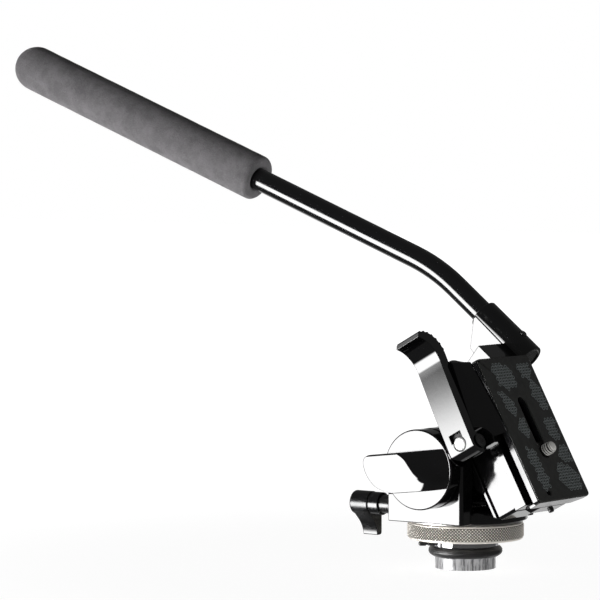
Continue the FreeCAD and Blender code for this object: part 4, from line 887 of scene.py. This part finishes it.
def make_clamp_lever():
    """Flat lever with a round heel and an outward curl, and a window beside its button."""
    bottom, top = 22.0, 37.4
    heel_at, heel_radius = Vector((2.3, -38.6)), 5.8
    heel, bend = (2.3, -44.4), (-42.6, -41.0)
    tip_out, tip_in = (-57.0, -50.6), (-59.3, -48.9)
    shoulder, root = (-46.2, -33.8), (-3.49, -38.3)
    bow = 0.35
    outer = [heel] + [(heel[0] + (bend[0] - heel[0]) * t,
                       heel[1] + (bend[1] - heel[1]) * t - bow * math.sin(math.pi * t))
                      for t in [i / 12 for i in range(1, 13)]]
    outer += arc_points(outer[-2], bend, tip_out, 14)
    inner = [tip_in] + list(reversed(arc_points(root, shoulder, tip_in, 14)))[1:] + [shoulder, root]
    inner += [tuple(heel_at + Vector((math.cos(a), math.sin(a))) * heel_radius)
              for a in [math.pi * (1 - k / 24) for k in range(1, 36)]]
    blade = Build()
    blade.prism([(x, y, bottom) for x, y in outer + inner], [(x, y, top) for x, y in outer + inner])
    obj = new_object("clamp_lever_blade", blade.points, blade.faces, ON_TILT)

    proud, button_floor, window_floor = -46.0, -40.6, -41.4
    side, near, low, high = -6.2, -2.0, 25.7, 33.0
    window, corner, button_bore, pivot_bore = Build(), Build(), Build(), Build()
    opening = [(side, proud), (near, proud), (near, window_floor), (side, window_floor)]
    window.prism([(x, y, low) for x, y in opening], [(x, y, high) for x, y in opening])
    corner.prism(*[[(3.6, y, 20.8), (12.0, y, 20.8), (12.0, y, 30.4)] for y in (proud, -30.0)])
    button_bore.lathe([(3.7, -46.5), (3.7, button_floor)], BUTTON_LINE, 48)
    pivot_bore.lathe([(2.55, 20.0), (2.55, 40.0)], upright_at(*PIVOT_AT), 48)
    for tool in (window, corner, button_bore, pivot_bore):
        carve(obj, tool)
    dress(obj, "lever", "gloss_black", ["clamp_lever"], bevel=0.25, sharp=30)

    gap, start, end, radius = 0.05, math.radians(239.6), math.radians(128.7), 3.65
    beside_button = [(BUTTON_X + radius * math.cos(start + (end - start) * k / 12),
                      BUTTON_Z + radius * math.sin(start + (end - start) * k / 12)) for k in range(13)]
    outline = [(side + gap, low + gap), (near - gap, low + gap)] + beside_button + [(side + gap, high - gap)]
    floor = Build()
    floor.prism([(x, window_floor - gap, z) for x, z in outline],
                [(x, window_floor + 0.1, z) for x, z in outline])
    add_piece("lever_window_floor", floor.points, floor.faces, "lever", "gloss_black",
              ["clamp_lever"], ON_TILT, finish="recess_black")

    ridges = Build()
    spine = arc_points(root, shoulder, tip_in, 30)
    for i in range(3, 29, 4):
        here, ahead = Vector(spine[i]), Vector(spine[i + 1])
        tangent = (ahead - here).normalized()
        normal = Vector((tangent.y, -tangent.x))
        profile = [here + tangent * math.cos(a) * 0.8 + normal * (math.sin(a) * 0.65 - 0.15)
                   for a in [math.pi * k / 8 for k in range(9)]]
        ridges.prism([(p.x, p.y, bottom + 0.1) for p in profile], [(p.x, p.y, top - 0.1) for p in profile])
    add_piece("clamp_lever_ridges", ridges.points, ridges.faces, "lever", "gloss_black",
              ["clamp_lever"], ON_TILT)


def make_lever_button():
    """Round push button with an eased face."""
    button = Build()
    button.lathe(rounded_profile([
        (3.4, -42.9, 0), (3.4, -44.35, 0.4), (3.0, -44.68, 0.3), (0.02, -44.7, 0)], 4), BUTTON_LINE, 64)
    add_piece("lever_button_cap", button.points, button.faces, "button", "button_white",
              ["lever_button"], ON_TILT)


def make_pivot_head():
    """Pivot pin with a flat, dished head."""
    pin = Build()
    pin.lathe(rounded_profile([
        (0.02, 21.3, 0), (2.5, 21.3, 0.2), (2.5, 37.65, 0.02), (3.6, 37.7, 0.1), (3.6, 38.3, 0.3),
        (3.2, 38.6, 0.2), (1.6, 38.6, 0.1), (1.4, 38.1, 0.1), (0.02, 38.1, 0)], 4),
        upright_at(*PIVOT_AT), 64)
    add_piece("pivot_pin_turned", pin.points, pin.faces, "jaw", "black_fasteners", ["lever_pivot"], ON_TILT)


# ---------------------------------------------------------------------------- plate

# Where the net lies on the pad, as outlines seen from above.
PATCHES = [
    [(-34, -13), (-31, -15), (-23, -13), (-20, -7), (-21, 1), (-26, 3.5), (-32, 1), (-35, -6)],
    [(-34, 8), (-27, 9), (-24, 13), (-27, 19.5), (-34, 19)],
    [(-22, 12), (-15, 11.5), (-7, 15), (-7, 20.5), (-21, 20.5), (-24, 17)],
    [(-19, -17.5), (-10, -17), (-5, -13.5), (-7, -9), (-14, -8), (-19, -12)],
    [(-5, -8.5), (-1, -13.5), (5, -13), (8, -8.5), (5, -5.5), (-3, -5.5)],
    [(-3, 11), (5, 10.5), (10, 14), (9, 20), (-3, 20.5)],
    [(12, -15.5), (20, -16.5), (24, -13), (22, -8), (14, -8)],
    [(24, -15), (30, -17), (36, -13.5), (34, -7.5), (27, -7), (23, -9.5)],
    [(13, 14), (19, 10.5), (23, 13.5), (22, 20.5), (14, 20.5)],
    [(23, 4.5), (31, 2.5), (37.5, 7), (37.5, 19), (31, 21), (25, 18), (23, 11)],
]


def inside(x, y, polygon):
    """Whether a point lies within an outline."""
    within = False
    for (x0, y0), (x1, y1) in zip(polygon, polygon[1:] + polygon[:1]):
        if (y0 > y) != (y1 > y) and x < x0 + (y - y0) / (y1 - y0) * (x1 - x0):
            within = not within
    return within


def make_pad_net():
    """Patches of a fine raised net on the rubber pad, with a near-black disc of painted shade in each mesh.
    """
    net, hollow_shade_discs = Build(), Build()
    length, width, sides = 3.1, 2.9, 8
    outer, inner = 1.06, 0.62
    sunk, raised, shade_disc_top = PAD_TOP - 0.02, PAD_TOP + 0.14, PAD_TOP + 0.02
    strand = [(outer, sunk), (outer, raised), (inner, raised), (inner, sunk)]
    for row in range(-26, 28):
        for column in range(-8, 9):
            x = row * length / 2
            y = (column + 0.5 * (row % 2)) * width
            if not any(inside(x, y, patch) for patch in PATCHES):
                continue
            where = upright_at(x, y)
            net.lathe(strand, where, sides, closed=True)
            # A thin near-black disc in each mesh: painted shade in the net's hollow.
            hollow_shade_discs.skin([hollow_shade_discs.turned(where, inner - 0.01, z, sides) for z in (sunk, shade_disc_top)])
    for name, piece in (("pad_net", net), ("pad_hollow_shade", hollow_shade_discs)):
        add_piece(name, piece.points, piece.faces, "plate", "pad_rubber", (), ON_TILT, finish=name)


def make_camera_screw():
    """Screw with a cut thread, a rounded end, a neck and a knurled head."""
    where = upright_at(*SCREW_AT)
    head = Build()
    segments = 120
    base, height, radius = 38.5, 3.9, 7.0
    profile = [(0.02, base), (radius - 0.5, base), (radius - 0.15, base + 0.3), (radius, base + 0.5),
               (radius, base + height - 0.5), (radius - 0.15, base + height - 0.3),
               (radius - 0.5, base + height), (2.65, base + height)]
    rings = []
    for r, z in profile:
        knurl = 0.22 if r > radius - 0.1 else 0.0
        rings.append(head.ring([where(r - (knurl if i % 2 else 0), TURN * i / segments, z)
                                for i in range(segments)]))
    head.skin(rings)
    add_piece("camera_screw_head", head.points, head.faces, "screw", "screw_steel", ["camera_screw"],
              ON_TILT)

    thread = Build()
    pitch, major, minor, start, last = 1.27, 3.175, 2.45, 46.8, 51.3
    neck_radius, neck_bottom, end_radius = 2.6, base + height - 0.2, 3.0
    columns, rows = 48, 72
    rings = [thread.turned(where, neck_radius, z, columns) for z in (neck_bottom, start - 0.15)]
    for row in range(rows + 1):
        z = start + (last - 0.3 - start) * row / rows
        taper = min(1.0, (z - start) / 0.6 + 0.1, (last - z) / 0.9)
        ring = []
        for i in range(columns):
            phase = (z / pitch - i / columns) % 1.0
            crest = 1 - abs(2 * phase - 1)
            cut = min(1.0, max(0.0, (crest - 0.25) / 0.35))
            ring.append(where(minor + (major - minor) * cut * taper, TURN * i / columns, z))
        rings.append(thread.ring(ring))
    for angle in [math.pi / 2 * k / 9 for k in range(9)]:
        r, z = end_radius * math.cos(angle) ** 0.8, last + (SCREW_TIP - last) * math.sin(angle)
        rings.append(thread.turned(where, r, z, columns))
    thread.skin(rings)
    add_piece("camera_screw_thread", thread.points, thread.faces, "screw", "screw_steel",
              ["camera_screw"], ON_TILT, sharp=40, finish="thread_steel")


# ---------------------------------------------------------------------------- handle


def make_foam_grip():
    """Foam sleeve with an eased mouth, a dome end and a slightly uneven surface."""
    slope, sleeve = math.radians(40.3), math.radians(22.9)
    rim = Vector((-70.66, 31.5, 27.08))
    rim_to_bend, bend_to_grip = 37.35, 125.6
    bend = rim - Vector((math.cos(sleeve), 0, math.sin(sleeve))) * rim_to_bend
    direction = Vector((-math.cos(slope), 0, -math.sin(slope)))
    where = along(bend + direction * bend_to_grip, direction)
    radius, length, mouth_ease = 12.5, 180.0, 2.5
    bore, bore_start, bore_end = 6.05, 1.2, 150.9
    profile = [(bore, bore_start), (6.6, 0.35), (7.6, 0.0)]
    profile += [(radius - mouth_ease + mouth_ease * math.sin(a), mouth_ease - mouth_ease * math.cos(a))
                for a in [math.pi / 2 * k / 8 for k in range(9)]]
    profile += [(radius, mouth_ease + (length - radius - mouth_ease) * k / 130) for k in range(1, 131)]
    profile += [(radius * math.cos(a), length - radius + radius * math.sin(a))
                for a in [math.pi / 2 * k / 18 for k in range(1, 18)]]
    profile += [(0.3, length)]
    grip = Build()
    segments = 96
    rings = []
    for r, h in profile:
        ring = []
        for i in range(segments):
            point = Vector(where(r, TURN * i / segments, h))
            uneven = noise.fractal(point * 0.11, 1.0, 2.0, 3) * 0.09 - 0.1
            uneven *= min(1.0, max(0.0, (r - 6.2) / 2))
            ring.append(where(max(r + uneven, 0.02), TURN * i / segments, h))
        rings.append(grip.ring(ring))
    inner = [grip.turned(where, bore, h, segments) for h in (bore_end, bore_start)]
    for first, second in zip(rings, rings[1:]):
        grip.bridge(first, second)
    grip.fan(rings[-1], where(0, 0, length))
    grip.bridge(inner[0], inner[1])
    grip.bridge(inner[1], rings[0])
    grip.fan(inner[0], where(0, 0, bore_end))
    obj = add_piece("foam_grip_sleeve", grip.points, grip.faces, "platform", "foam", ["foam_grip"],
                    ON_TILT, sharp=60)


# ---------------------------------------------------------------------------- build

# Nodes shown as eased copies: node, body, slot, bevel in millimetres, and another finish if any.
EASED = [
    ("pan_yoke", "yoke", "gloss_black", 0.5),
    ("axle_cap", "yoke", "gloss_black", 0.0),
    ("tilt_hub", "platform", "gloss_black", 0.3, "hub_black"),
    ("camera_platform", "platform", "gloss_black", 0.25, "hub_black"),
    ("fixed_jaw", "platform", "gloss_black", 0.3),
    ("moving_jaw", "jaw", "gloss_black", 0.4),
    ("handle_bracket", "platform", "gloss_black", 0.4),
    ("quick_release_plate", "plate", "plate_black", 0.15),
    ("plate_rubber_pad", "plate", "pad_rubber", 0.6),
    ("handle_set_screw", "platform", "black_fasteners", 0.0),
    ("plate_catch", "catch", "black_fasteners", 0.3),
    ("spigot_neck", "base", "polished_neck", 0.25),
    ("column_tube", "base", "column_fibre", 0.2),
    ("base_core", "base", "base_metal", 0.15),
]

# Nodes shown as they are, with their finish.
SLOT_OF = {
    "handle_tube": "tube_black", "sleeve_plug": "tube_black", "screw_retainer": "screw_steel",
    "guide_pins": "screw_steel", "tilt_axle": "screw_steel", "pan_spindle": "screw_steel",
    "mounting_stud": "screw_steel", "tilt_lock_stud": "screw_steel", "pan_lock_screw": "screw_steel",
    "platform_screws": "black_fasteners", "fixed_jaw_screws": "black_fasteners",
    "bracket_screws": "black_fasteners", "pan_bush": "bush_brass", "hub_bush": "bush_brass",
    "drag_discs": "drag_plastic", "pan_lock_pad": "drag_plastic",
}

add_camera()
add_light()
for node, slot in SLOT_OF.items():
    obj = nodes[node]
    for place in obj.material_slots:
        place.material = PAINTS[slot].material
for entry in EASED:
    eased_copy(*entry)
make_knurled_collar()
make_rubber_ring()
make_neck_lock_pin()
make_tilt_knob()
make_pan_lever()
make_clamp_lever()
make_lever_button()
make_pivot_head()
make_pad_net()
make_camera_screw()
make_foam_grip()

scene.view_settings.view_transform = "Standard"
